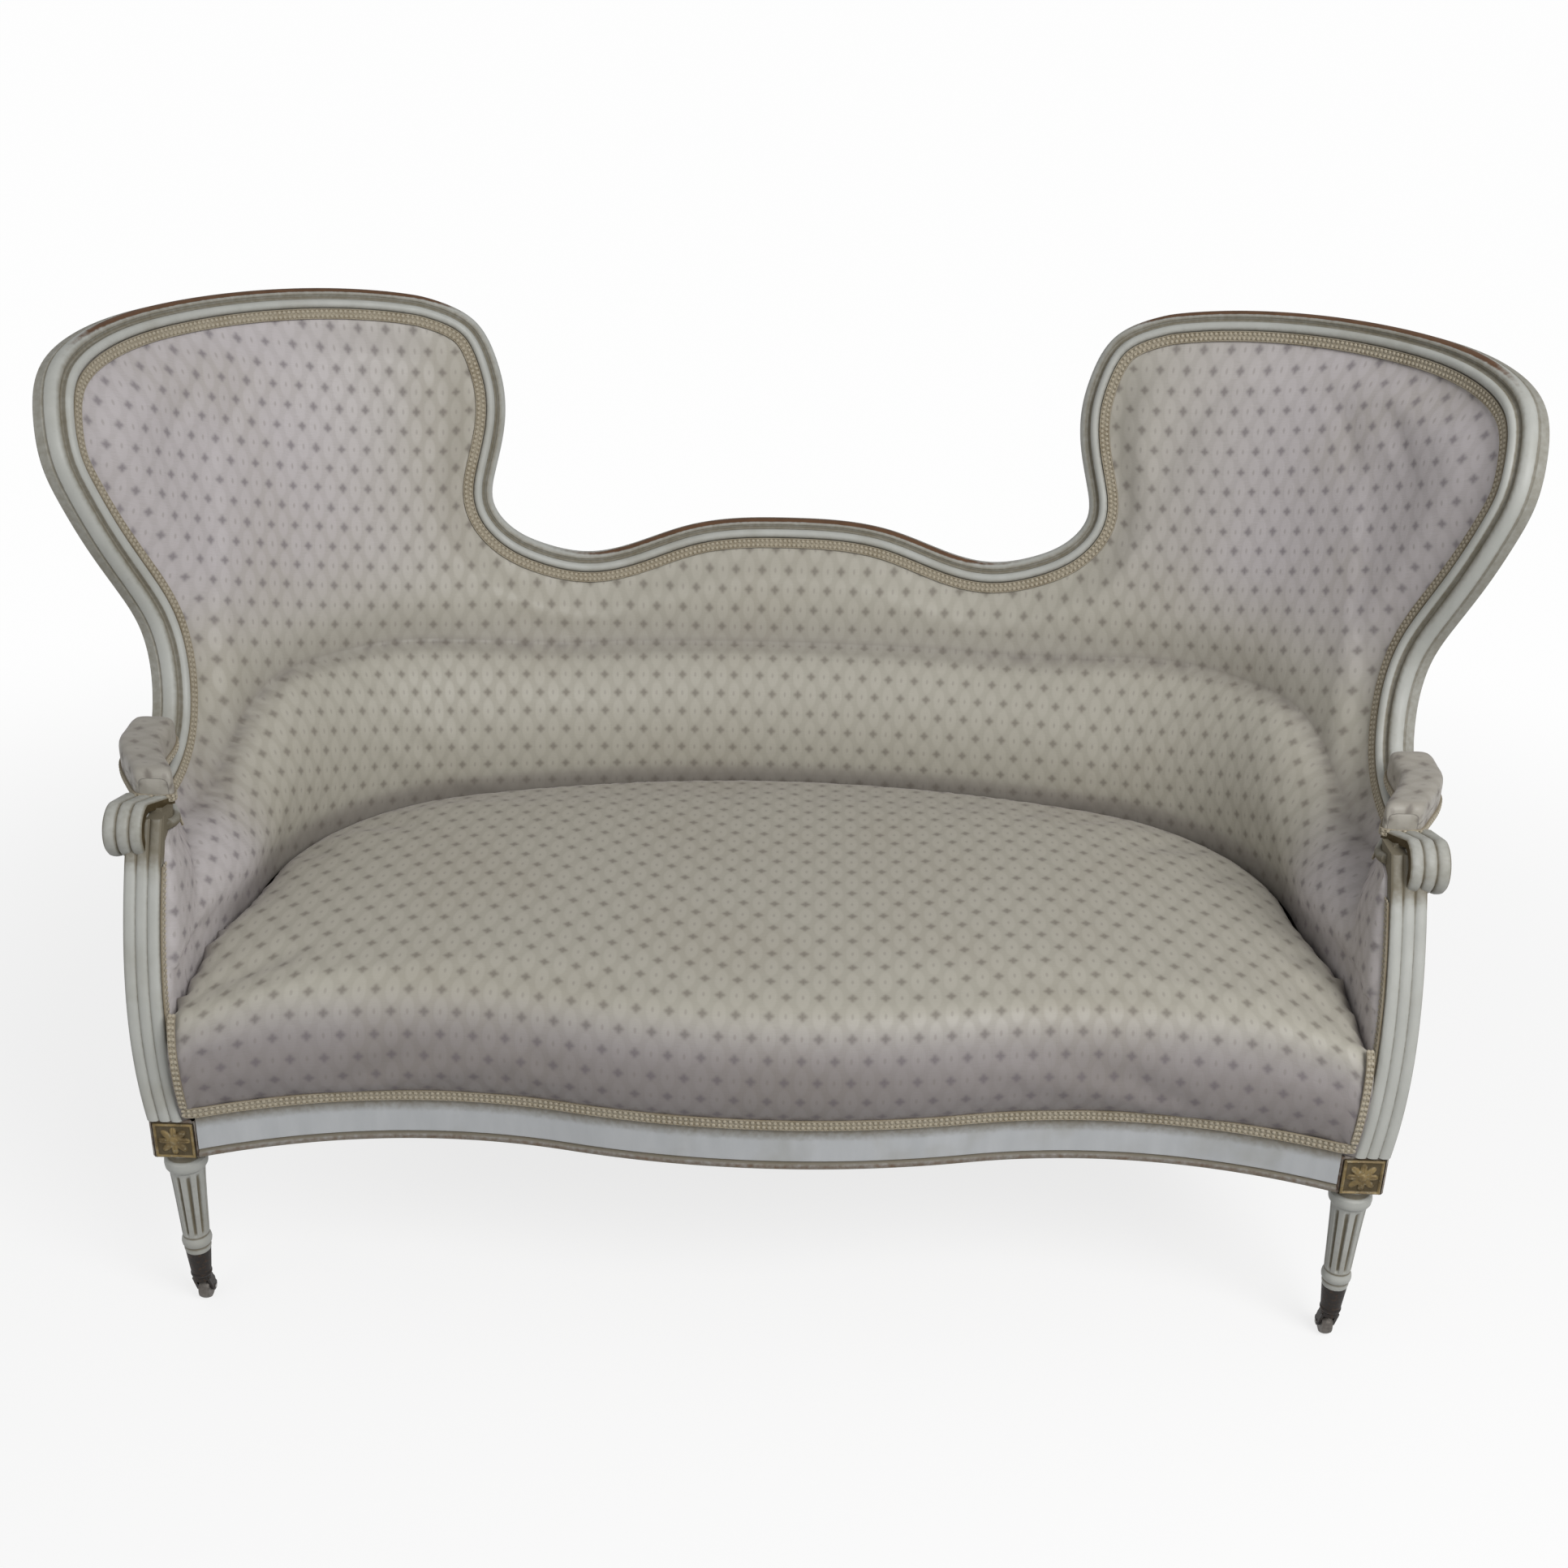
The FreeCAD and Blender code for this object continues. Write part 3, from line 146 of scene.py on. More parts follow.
beech = Finish("bare_beech", {"Specular IOR Level": 0.25})
beech_grain = beech.noise(60, 4, (1, 1, 0.12))
beech_fleck = beech.noise(420, 2, (1, 1, 0.3))
beech_colour = beech.mix(beech.fade(beech_grain, 0.35, 0.68), tone(186, 150, 108), tone(160, 120, 80))
beech.set("Base Color", beech.mix(beech.fade(beech_fleck, 0.62, 0.7) * 0.5, beech_colour, tone(120, 84, 52)))
beech.set("Roughness", 0.55 + 0.2 * beech_grain)
beech.bump(beech_grain, 0.0004)
finish_nodes(beech, "back_rail", "side_rail_left", "side_rail_right", "back_upright_left",
             "back_upright_right", "wing_upright_left", "wing_upright_right", "back_tack_rail",
             "corner_blocks")

# Steel of the frame: screws in the corner blocks, tacks, coil springs and the caster axles.
# Plain drawn wire and turned rod, a little dulled.
steel = Finish("drawn_steel", {"Metallic": 0.9})
steel_dull = steel.noise(350, 3)
steel.set("Base Color", steel.mix(steel.fade(steel_dull, 0.4, 0.7), tone(168, 168, 166), tone(120, 112, 102)))
steel.set("Roughness", 0.3 + 0.3 * steel_dull)
finish_nodes(steel, "corner_block_screws", "dust_cover_tacks", "seat_springs",
             "caster_axle_left", "caster_axle_right")

# Webbing: jute straps nailed under the rails in two crossing layers, which carry the springs.
# The weave shows as fine ribs along and across the strap.


def woven(name, shine, fineness, slack, dark, light, dull, duller, rib):
    """Plain weave of two tones, with fine ribs along and across."""
    finish = Finish(name, {"Specular IOR Level": shine})
    thread = finish.noise(fineness, 2, (1, slack, 1)) + finish.noise(fineness, 2, (slack, 1, 1))
    finish.set("Base Color", finish.mix(finish.fade(thread, 0.8, 1.2), dark, light))
    finish.set("Roughness", dull + duller * thread)
    finish.bump(thread, rib)
    return finish


jute = woven("jute_webbing", 0.15, 900, 0.2, tone(150, 122, 82), tone(192, 166, 120), 0.7, 0.1, 0.0006)
finish_nodes(jute, "webbing_front_to_back", "webbing_side_to_side")

# Tub of the sofa: the plan line that the rails, covers and show-wood follow, in metres.
# A shallow bow across the back, a round corner and a straight side, leaning outward above the level.
bow_radius, corner_radius = 1.350, 0.335
half_width, tub_depth = 0.655, 0.2737
lean, level = 0.26, 0.420
turn = math.asin((half_width - corner_radius) / (bow_radius - corner_radius))
bow_run = bow_radius * turn
side_start = bow_run + corner_radius * (math.pi / 2 - turn)
bow_centre = Vector((0, tub_depth - bow_radius, 0))
corner_centre = bow_centre + Vector((math.sin(turn), math.cos(turn), 0)) * (bow_radius - corner_radius)


def smooth(low, high, value):
    """0 below low, 1 above high, and smooth between."""
    share = np.clip((value - low) / (high - low), 0.0, 1.0)
    return share * share * (3 - 2 * share)


def tub(along):
    """Point on the plan line and the outward direction there."""
    side = math.copysign(1, along)
    run = abs(along)
    if run < bow_run:
        centre, radius, angle = bow_centre, bow_radius, run / bow_radius
    else:
        corner = min((run - bow_run) / corner_radius, math.pi / 2 - turn)
        centre, radius, angle = corner_centre, corner_radius, turn + corner
    out = Vector((math.sin(angle), math.cos(angle), 0))
    point = centre + out * radius - Vector((0, max(run - side_start, 0), 0))
    return Vector((side * point.x, point.y, 0)), Vector((side * out.x, out.y, 0))


def plumb(along, height, out):
    """Point at a distance outside the upright tub line."""
    point, direction = tub(along)
    return point + direction * out + Vector((0, 0, height))


def leaned(height):
    """How far outside its plan line the tub leans at a height."""
    return lean * (height - level)


def rear_y(x, offset):
    """Depth of the tub line, moved outward by offset, behind a place across the seat."""
    x = abs(x)
    joint = (bow_radius + offset) * math.sin(turn)
    centre, radius = (bow_centre, bow_radius) if x < joint else (corner_centre, corner_radius)
    return centre.y + math.sqrt(max((radius + offset) ** 2 - (x - centre.x) ** 2, 0))


# Front line of the seat rail: a bulge in the middle between two dips, all in the plan.
# Two arcs make it, the bulge and the dip, and they meet without a corner.
leg_front, front_bow, front_dip = 0.3883, 0.3783, 0.3413
dip_place, dip_radius = 0.360, 0.700
dip_drop = front_bow - front_dip
bulge_radius = (dip_place ** 2 + dip_drop ** 2) / (2 * dip_drop) - dip_radius


def front_y(x, back=0.0):
    """Depth of the serpentine line, moved back from the face of the rail."""
    x = abs(x)
    if x < dip_place * (bulge_radius - back) / (bulge_radius + dip_radius):
        return bulge_radius - front_bow - math.sqrt((bulge_radius - back) ** 2 - x * x)
    return -front_dip - dip_radius + math.sqrt((dip_radius + back) ** 2 - (x - dip_place) ** 2)


def seat_outline(offset, back, step=0.02):
    """Closed plan of what lies inside the rails: serpentine front, straight sides and round back."""
    half = half_width + offset
    count = int(2 * half / step)
    across = [half * (2 * i / count - 1) for i in range(count + 1)]
    rear = [half * math.cos(math.pi * i / count) for i in range(count + 1)]
    return [(x, front_y(x, back)) for x in across] + [(x, rear_y(x, offset)) for x in rear]


# Cloth under the seat: canvas over the springs and a dust cover tacked below the rails.
# Both are plain hessian, cut to the plan of the seat and pulled tight.


def new_piece(name, points, faces, *finishes, smooth_angle=35):
    """Object of points and faces, turned outward and smoothed up to an angle in degrees."""
    mesh = bpy.data.meshes.new(name)
    mesh.from_pydata([tuple(point) for point in points], [], faces)
    net = bmesh.new()
    net.from_mesh(mesh)
    bmesh.ops.recalc_face_normals(net, faces=net.faces)
    net.to_mesh(mesh)
    net.free()
    for finish in finishes:
        mesh.materials.append(finish.material)
    mesh.shade_smooth()
    mesh.set_sharp_from_angle(angle=math.radians(smooth_angle))
    piece = bpy.data.objects.new(name, mesh)
    bpy.context.collection.objects.link(piece)
    return piece


def inside(outline, points):
    """Which points lie inside a closed outline."""
    result = np.zeros(len(points), dtype=bool)
    for (x0, y0), (x1, y1) in zip(outline, np.roll(outline, -1, axis=0)):
        if y0 == y1:
            continue
        crossed = (points[:, 1] > y0) != (points[:, 1] > y1)
        result ^= crossed & (points[:, 0] < x0 + (points[:, 1] - y0) * (x1 - x0) / (y1 - y0))
    return result


def distance_to(line, points):
    """Distance of each point to the nearest of the points of a line."""
    best = np.full(len(points), np.inf)
    for spot in line:
        best = np.minimum(best, np.hypot(points[:, 0] - spot[0], points[:, 1] - spot[1]))
    return best


def soft_distance(line, points):
    """Distance to a line, without a crease where two parts of the line are equally near."""
    pull = np.zeros(len(points))
    for begin, end in zip(line, line[1:]):
        middle = (begin + end) / 2
        apart = (points[:, 0] - middle[0]) ** 2 + (points[:, 1] - middle[1]) ** 2
        pull += np.hypot(*(end - begin)) / np.maximum(apart, 1e-6) ** 2
    return (2 * pull / math.pi) ** (-1 / 3)


def net_over(outline, spacing, rows_kept=()):
    """Triangles over a closed outline of 2-D points, with an even staggered net and kept rows inside it."""
    border = np.array(outline)
    low, high = border.min(axis=0), border.max(axis=0)
    rows = np.arange(low[1] + spacing / 2, high[1], spacing * 0.866)
    columns = np.arange(low[0], high[0], spacing)
    net = np.array([(x + spacing / 2 * (i % 2), y) for i, y in enumerate(rows) for x in columns])
    net = net[inside(border, net)]
    kept = [row[inside(border, row)] for row in rows_kept]
    kept = [row[distance_to(border, row) > 0.5 * spacing] for row in kept]
    fixed = np.vstack([border] + kept)
    net = net[distance_to(fixed, net) > 0.55 * spacing]
    points = [Vector(spot) for spot in np.vstack([fixed, net])]
    count = len(border)
    edges = [(i, (i + 1) % count) for i in range(count)]
    spots, _, faces, _, _, _ = geometry.delaunay_2d_cdt(points, edges, [], 1, 1e-7)
    used = sorted({corner for face in faces for corner in face})
    place = {old: new for new, old in enumerate(used)}
    return np.array([spots[old] for old in used]), [tuple(place[c] for c in face) for face in faces]


def rim_of(faces):
    """Border edges of a net of triangles, in the order that their faces use them."""
    seen = set()
    for face in faces:
        for first, second in zip(face, face[1:] + face[:1]):
            if (second, first) in seen:
                seen.discard((second, first))
            else:
                seen.add((first, second))
    return seen


def shell(front, rear, faces):
    """Closed shell of a net of faces with a front and a rear place for each of its points."""
    count = len(front)
    walls = [(b, a, a + count, b + count) for a, b in rim_of(faces)]
    back = [tuple(corner + count for corner in reversed(face)) for face in faces]
    return list(front) + list(rear), list(faces) + back + walls


hessian = woven("hessian", 0.12, 700, 0.15, tone(96, 82, 60), tone(140, 122, 92), 0.72, 0.12, 0.0005)


def seat_cloth(name, offset, back, height, sag):
    """Flat cloth of the seat's plan, sagging a little in the middle."""
    outline = seat_outline(offset, back)
    spots, faces = net_over(outline, 0.03)
    depth = distance_to(np.array(outline), spots)
    drop = height - sag * smooth(0, 0.25, depth)
    front = [(x, y, z) for (x, y), z in zip(spots, drop)]
    rear = [(x, y, z - 0.001) for x, y, z in front]
    points, faces = shell(front, rear, faces)
    piece = new_piece(name, points, faces, hessian)
    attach(piece, "frame")
    return piece


canvas = seat_cloth("spring_canvas_cloth", -0.0494, 0.007, 0.3315, 0.0)
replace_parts(canvas, "spring_canvas")
dust_cloth = seat_cloth("dust_cloth", -0.035, 0.015, 0.2152, 0.0008)
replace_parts(dust_cloth, "dust_cover")

# Front legs: beech, turned and fluted below a square block, painted grey-white over brown wood.
# The paint is rubbed through on edges and an olive-brown glaze lies in the flutes and grooves.


def painted_wood(name, light, dark):
    """Brushed paint between two tones, with glaze and painted shade where marked and bare wood on the worn
    edges.
    """
    finish = Finish(name, {"Specular IOR Level": 0.4})
    brush = finish.noise(55, 4, (1, 1, 0.25))
    blotch = finish.noise(14, 3)
    speck = finish.noise(160, 4)
    paint = finish.mix(brush, light, dark)
    paint = finish.mix(finish.fade(blotch, 0.5, 0.72) * 0.3, paint, tone(146, 142, 128))
    # Glaze in the grooves, and painted shade in the other marked places, darken the paint to olive-brown.
    patina_and_shade_share = finish.fade(finish.attribute("patina_and_shade") + 0.4 * speck, 0.3, 1.2)
    paint = finish.mix(patina_and_shade_share * 0.85, paint, tone(98, 87, 62))
    bare = finish.fade(finish.attribute("worn") * (0.7 + 0.6 * speck) + 0.15 * blotch, 0.55, 1.0)
    finish.set("Base Color", finish.mix(bare, paint, finish.mix(brush, tone(112, 80, 54), tone(78, 54, 36))))
    finish.set("Roughness", 0.38 + 0.2 * brush + 0.15 * patina_and_shade_share)
    finish.bump(brush * 0.5 + speck * 0.3 - bare, 0.0006)
    return finish


painted = painted_wood("painted_wood", tone(190, 191, 186), tone(168, 169, 163))


def loft(rings):
    """Quads between closed rings of points, with a flat face on each end."""
    points = [point for ring in rings for point in ring]
    size = len(rings[0])
    faces = []
    for row in range(len(rings) - 1):
        for i in range(size):
            here, after = row * size + i, row * size + (i + 1) % size
            faces.append((here, after, after + size, here + size))
    faces.append(tuple(reversed(range(size))))
    faces.append(tuple(range(len(points) - size, len(points))))
    return points, faces


def marked_loft(rings, marks):
    """Loft with the marks of glaze and painted shade, and of wear, at each of its points."""
    return (*loft(rings), *zip(*marks))


def mark(piece, name, values):
    """Number on each point of a piece for its material to read."""
    held = piece.data.attributes.new(name, "FLOAT", "POINT")
    held.data.foreach_set("value", np.asarray(values, dtype=np.float32))


def joined(*parts):
    """Points, faces and marks of several shells as one list of each."""
    points, faces, grooves, wear = [], [], [], []
    for part_points, part_faces, part_grooves, part_wear in parts:
        start = len(points)
        points += list(part_points)
        faces += [tuple(corner + start for corner in face) for face in part_faces]
        grooves += list(part_grooves)
        wear += list(part_wear)
    return points, faces, grooves, wear


def carved_piece(name, part, *finishes):
    """Painted piece with its glaze, painted shade and worn edges marked."""
    points, faces, grooves, wear = part
    piece = new_piece(name, points, faces, *(finishes or (painted,)))
    mark(piece, "patina_and_shade", grooves)
    mark(piece, "worn", wear)
    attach(piece, "frame")
    return piece


leg_x, leg_y, block_half = 0.640, -0.3623, 0.026
block_low, block_high = 0.216, 0.264
flute_count, flute_depth = 10, 0.0032
leg_profile = [
    (0.0085, 0.0550), (0.0105, 0.0750), (0.0140, 0.0762), (0.0148, 0.0800), (0.0145, 0.0840),
    (0.0160, 0.0865), (0.0165, 0.0900), (0.0160, 0.0935), (0.0148, 0.0955), (0.0145, 0.0980),
    (0.0148, 0.1010), (0.0150, 0.1050), (0.0156, 0.1200), (0.0168, 0.1450), (0.0181, 0.1700),
    (0.0189, 0.1820), (0.0192, 0.1870), (0.0195, 0.1895), (0.0214, 0.1905), (0.0229, 0.1930),
    (0.0235, 0.1980), (0.0229, 0.2028), (0.0212, 0.2042), (0.0186, 0.2055), (0.0178, 0.2085),
    (0.0182, 0.2110), (0.0204, 0.2130), (0.0215, 0.2150), (0.0215, 0.2180)]


def turned_leg(centre):
    """Turned shaft with round-bottomed flutes between the ankle ring and the collar."""
    around = 8 * flute_count
    rings, grooves, wear = [], [], []
    for row, (radius, height) in enumerate(leg_profile):
        fluted = float(smooth(0.100, 0.106, height) * (1 - smooth(0.180, 0.187, height)))
        before = leg_profile[max(row - 1, 0)][0]
        after = leg_profile[min(row + 1, len(leg_profile) - 1)][0]
        wider = max(before, after)
        stepped = fluted == 0 and radius < wider - 0.002
        waist = 1.0 if stepped or radius < min(before, after) else 0.0
        ring = []
        for i in range(around):
            angle = 2 * math.pi * i / around
            cut = fluted * max(0.0, math.cos(flute_count * angle)) ** 0.6
            reach = radius - flute_depth * cut
            ring.append(centre + Vector((reach * math.cos(angle), reach * math.sin(angle), height)))
            grooves.append(max(1.1 * cut, 0.9 * waist))
            wear.append(0.5 * (1 - cut) if fluted else 0.45 * (radius > wider - 0.0002))
        rings.append(ring)
    return (*loft(rings), grooves, wear)


def square_block(centre, half, low, high, edge=0.0018):
    """Square block with softened edges."""
    rings, grooves, wear = [], [], []
    for inset, height in ((edge, low), (0, low + edge), (0, high - edge), (edge, high)):
        reach, corner = half - inset, edge * 1.5
        ring = []
        for x_sign, y_sign in ((1, 1), (-1, 1), (-1, -1), (1, -1)):
            steps = ((0, 1), (1, 0)) if x_sign * y_sign > 0 else ((1, 0), (0, 1))
            for x_cut, y_cut in reversed(steps):
                x = x_sign * (reach - corner * x_cut)
                y = y_sign * (reach - corner * y_cut)
                ring.append(centre + Vector((x, y, height)))
        rings.append(ring)
        grooves += [0.55 if inset else 0.3] * 8
        wear += [0.75] * 8
    return (*loft(rings), grooves, wear)


both_sides = ((1, "right"), (-1, "left"))
for side, name in both_sides:
    foot = Vector((side * leg_x, leg_y, 0))
    block = square_block(foot, block_half, block_low, block_high)
    leg = carved_piece("leg_" + name, joined(turned_leg(foot), block))
    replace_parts(leg, "front_leg_" + name)

# Rosettes: a carved square tile on the face of each leg block, eight petals round a boss in a frame.
# They are gilded, with the gold worn to brown on the high places and dirt in the hollows.
gilded = Finish("gilded_wood", {"Specular IOR Level": 0.5})
gilt_speck = gilded.noise(240, 4)
gilt_blotch = gilded.noise(70, 3)
gilt_hollow_and_shade = gilded.attribute("patina_and_shade")
gilt = gilded.mix(gilded.fade(gilt_blotch, 0.4, 0.65), tone(138, 118, 76), tone(104, 88, 58))
gilt = gilded.mix(gilded.fade(gilt_speck, 0.55, 0.7) * 0.6, gilt, tone(160, 152, 128))
# Dirt in the hollows of the rosettes; on the flat sides of the scrolls the same dark is painted shade.
gilt_dirt_and_shade = gilded.fade(gilt_hollow_and_shade + 0.4 * gilt_speck, 0.4, 1.0)
gilded.set("Base Color", gilded.mix(gilt_dirt_and_shade, gilt, tone(80, 68, 44)))
gilded.set("Metallic", 0.45 * gilded.fade(gilt_blotch, 0.35, 0.6))
gilded.set("Roughness", 0.4 + 0.3 * gilt_speck)
gilded.bump(gilt_speck, 0.0005)
tile_half = 0.0218
tile_cells = 44


def petal_height(across, up):
    """Relief of the rosette in millimetres above the block, at a place on the tile in millimetres."""
    ground_high, border_inner, border_broad, boss_radius = 0.5, 18.2, 3.4, 5.0
    petal_middle, petal_half = 10.2, 3.9
    edge = max(abs(across), abs(up))
    reach = math.hypot(across, up)
    height = ground_high
    if edge > border_inner:
        height = 0.8 + 1.6 * math.sin(math.pi * min((edge - border_inner) / border_broad, 1.0))
    for i in range(8):
        angle = i * math.pi / 4
        along = across * math.sin(angle) + up * math.cos(angle) - petal_middle
        aside = across * math.cos(angle) - up * math.sin(angle)
        petal_long = 7.6 if i % 2 == 0 else 8.6
        inner = 1 - (along / petal_long) ** 2 - (aside / petal_half) ** 2
        if inner > 0:
            vein = 0.9 * math.exp(-(aside / 0.8) ** 2)
            height = max(height, ground_high + 2.8 * math.sqrt(inner) - vein)
    if reach < boss_radius:
        height = max(height, 2.0 + 2.0 * math.sqrt(1 - (reach / boss_radius) ** 2))
    return height


tiles = []
for side in (1, -1):
    centre = Vector((side * leg_x, -leg_front, (block_low + block_high) / 2))
    front, hollow = [], []
    for row in range(tile_cells + 1):
        for column in range(tile_cells + 1):
            across = tile_half * (2 * column / tile_cells - 1)
            up = tile_half * (2 * row / tile_cells - 1)
            height = petal_height(1000 * across, 1000 * up)
            front.append(centre + Vector((across, -0.001 * height, up)))
            hollow.append(1.0 - min(height / 2.2, 1.0))
    rear = [Vector((point.x, centre.y + 0.001, point.z)) for point in front]
    width = tile_cells + 1
    cells = []
    for row in range(tile_cells):
        for column in range(tile_cells):
            corner = row * width + column
            cells.append((corner, corner + 1, corner + width + 1, corner + width))
    points, faces = shell(front, rear, cells)
    tiles.append((points, faces, hollow + [1.0] * len(rear), [0.0] * len(points)))
rosettes = carved_piece("carved_rosettes", joined(*tiles), gilded)
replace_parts(rosettes, "rosettes")

# Front rail: a painted serpentine rail between the leg blocks, with a small bead along its lower edge.
# The bead is picked out in olive-brown and the groove over it is dark.
rail_high, rail_end = 0.279, leg_x - block_half
# Each point of the section: how far back from the face, height, glaze with painted shade, and wear.
# The dark band along the top of the face is painted shade under the overhang of the seat, laid over the
# glaze.
rail_section = [
    (0.0300, 0.2190, 0.0, 0.0), (0.0300, 0.2790, 0.0, 0.0), (0.0008, 0.2790, 0.8, 0.0),
    (0.0000, 0.2780, 0.8, 0.0), (0.0000, 0.2680, 0.8, 0.0), (0.0000, 0.2590, 0.4, 0.0),
    (0.0000, 0.2530, 0.0, 0.0), (0.0000, 0.2330, 0.0, 0.0), (0.0000, 0.2300, 0.3, 0.0),
    (0.0016, 0.2290, 1.1, 0.0), (0.0016, 0.2278, 1.2, 0.0), (0.0002, 0.2270, 1.0, 0.2),
    (-0.0014, 0.2255, 0.7, 0.6), (-0.0020, 0.2230, 0.7, 0.7), (-0.0012, 0.2203, 0.9, 0.5),
    (0.0014, 0.2190, 1.0, 0.2)]
rail_rings, rail_marks = [], []
rail_steps = 96
for i in range(rail_steps + 1):
    x = rail_end * (2 * i / rail_steps - 1)
    rail_rings.append([Vector((x, front_y(x, back), height)) for back, height, _, _ in rail_section])
    rail_marks += [(dark, rubbed) for _, _, dark, rubbed in rail_section]
rail_paint = painted_wood("rail_paint", tone(196, 198, 200), tone(174, 177, 179))
rail = carved_piece("front_rail_moulded", marked_loft(rail_rings, rail_marks), rail_paint)
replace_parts(rail, "front_rail")

# Casters: a tapered iron cup on each front ankle, a swivelling horn and a small worn wheel.
# The iron is blackened, with rust in its hollows.
iron = Finish("blackened_iron", {"Metallic": 0.4})
iron_pit = iron.noise(260, 4)
iron.set("Base Color", iron.mix(iron.fade(iron_pit, 0.5, 0.72), tone(38, 33, 30), tone(66, 50, 38)))
iron.set("Roughness", 0.42 + 0.3 * iron_pit)
iron.bump(iron_pit, 0.0005)
finish_nodes(iron, "caster_cup_left", "caster_cup_right", "caster_horn_left", "caster_horn_right")
wheel_metal = Finish("worn_wheel", {"Metallic": 0.5})
wheel_scuff = wheel_metal.noise(300, 4)
wheel_metal.set("Base Color", wheel_metal.mix(wheel_scuff, tone(126, 120, 114), tone(82, 78, 74)))
wheel_metal.set("Roughness", 0.35 + 0.35 * wheel_scuff)
wheel_metal.bump(wheel_scuff, 0.0004)
finish_nodes(wheel_metal, "caster_wheel_left", "caster_wheel_right")

# Back legs: sabre-shaped, stained dark and let in to the rails.
# The grain of the beech shows through the stain and runs down each leg.
stained = Finish("stained_beech", {"Specular IOR Level": 0.4})
stain_grain = stained.noise(70, 5, (1, 1, 0.08))
stain_share = stained.fade(stain_grain, 0.38, 0.66)
stained.set("Base Color", stained.mix(stain_share, tone(104, 68, 42), tone(62, 40, 25)))
stained.set("Roughness", 0.36 + 0.25 * stain_grain)
stained.bump(stain_grain, 0.0004)
finish_nodes(stained, "back_leg_left", "back_leg_right")

# Show-wood of the back: crest, swoops, wing crests, stiles and arms, joined end to end round the tub.
# One moulding runs through all of them: a bead by the covering, a glazed hollow and a rounded outer edge,
# with painted shade darkening the hollow and the edge.
valley, rise = 0.690, 0.344
arm_top = 0.576
turn_begin, turn_end, turn_in = 0.880, 1.000, 0.047
arm_drop = valley - 0.07 * rise - arm_top
crest_points = [(0, 0.733), (0.130, 0.721), (0.252, valley)]
wing_points = [
    (0.310, 0.041), (0.345, 0.102), (0.366, 0.203), (0.361, 0.308), (0.347, 0.465), (0.344, 0.581),
    (0.351, 0.712), (0.373, 0.849), (0.413, 0.922), (0.470, 0.968), (0.560, 0.997), (0.650, 0.997),
    (0.735, 0.962), (0.785, 0.887), (0.812, 0.756), (0.824, 0.610), (0.820, 0.494), (0.806, 0.320),
    (0.788, 0.160), (0.777, 0.029), (0.779, -0.070)]
arm_points = [(0.793, 0.56), (0.818, 0.20), (0.852, 0.03), (0.900, 0.0), (0.950, -0.02), (1.000, 0.06)]
show_points = crest_points + [(along, valley + share * rise) for along, share in wing_points]
show_points = np.array(show_points + [(along, arm_top + share * arm_drop) for along, share in arm_points])
show_knots = np.concatenate([[0], np.cumsum(np.hypot(*np.diff(show_points, axis=0).T))])


def smooth_slopes(points, knots, first, last):
    """Slopes at the knots of the smoothest curve through the points, with its end slopes given."""
    count = len(points)
    gaps = np.diff(knots)
    rates = np.diff(points, axis=0) / gaps[:, None]
    system, wanted = np.eye(count), np.zeros((count, 2))
    wanted[0], wanted[-1] = first, last
    for i in range(1, count - 1):
        system[i, i - 1:i + 2] = gaps[i], 2 * (gaps[i - 1] + gaps[i]), gaps[i - 1]
        wanted[i] = 3 * (gaps[i] * rates[i - 1] + gaps[i - 1] * rates[i])
    return np.linalg.solve(system, wanted)


show_slopes = smooth_slopes(show_points, show_knots, (1, 0), (0.958, 0.287))


def show_line(distance):
    """Place on the opened-out tub and direction of the show-wood at a distance from the crest."""
    i = int(np.clip(np.searchsorted(show_knots, distance) - 1, 0, len(show_knots) - 2))
    gap = show_knots[i + 1] - show_knots[i]
    t = (distance - show_knots[i]) / gap
    begin, end = show_points[i], show_points[i + 1]
    leave, arrive = show_slopes[i] * gap, show_slopes[i + 1] * gap
    squared, cubed = 3 * (end - begin) - 2 * leave - arrive, 2 * (begin - end) + leave + arrive
    place = begin + t * leave + t * t * squared + t ** 3 * cubed
    run = leave + 2 * t * squared + 3 * t * t * cubed
    return place, run / np.hypot(*run)


def arm_turn(along):
    """The arm leaves the tub near its front and turns in to stand over the post."""
    return -turn_in * float(smooth(turn_begin, turn_end, abs(along)))


def show_station(distance, side):
    """Point, direction in over the covering and direction to the front at one place."""
    (along, height), run = show_line(distance)

    def place(step_along, step_up):
        here = side * (along + step_along)
        return plumb(here, height + step_up, leaned(height + step_up) + arm_turn(here))

    step = 0.0005 * run
    forward = (place(*step) - place(*-step)).normalized()
    inward = place(step[1], -step[0]) - place(-step[1], step[0])
    inward = (inward - forward * inward.dot(forward)).normalized()
    front = forward.cross(inward)
    if front.dot(tub(side * along)[1]) > 0:
        front = -front
    return place(0, 0), inward, front


# Each point of the section: millimetres in from the outer edge, millimetres forward, glaze with painted
# shade, and wear.
bead_in, bead_forward, bead_half, bead_rise = 20.4, -3, 5.8, 6.2
edge_half, edge_forward, edge_rise = 8.6, -16, 10.8
moulding = [(26.2, -33.0, 0.0, 0.0), (26.2, -4.0, 0.9, 0.0)]
for i in range(9):
    angle = math.pi * i / 8
    glaze = 0.8 if i == 8 else max(0.75 - 0.17 * i, 0.0)
    spot = bead_in + bead_half * math.cos(angle), bead_forward + bead_rise * math.sin(angle)
    moulding.append((*spot, glaze, 0.0))
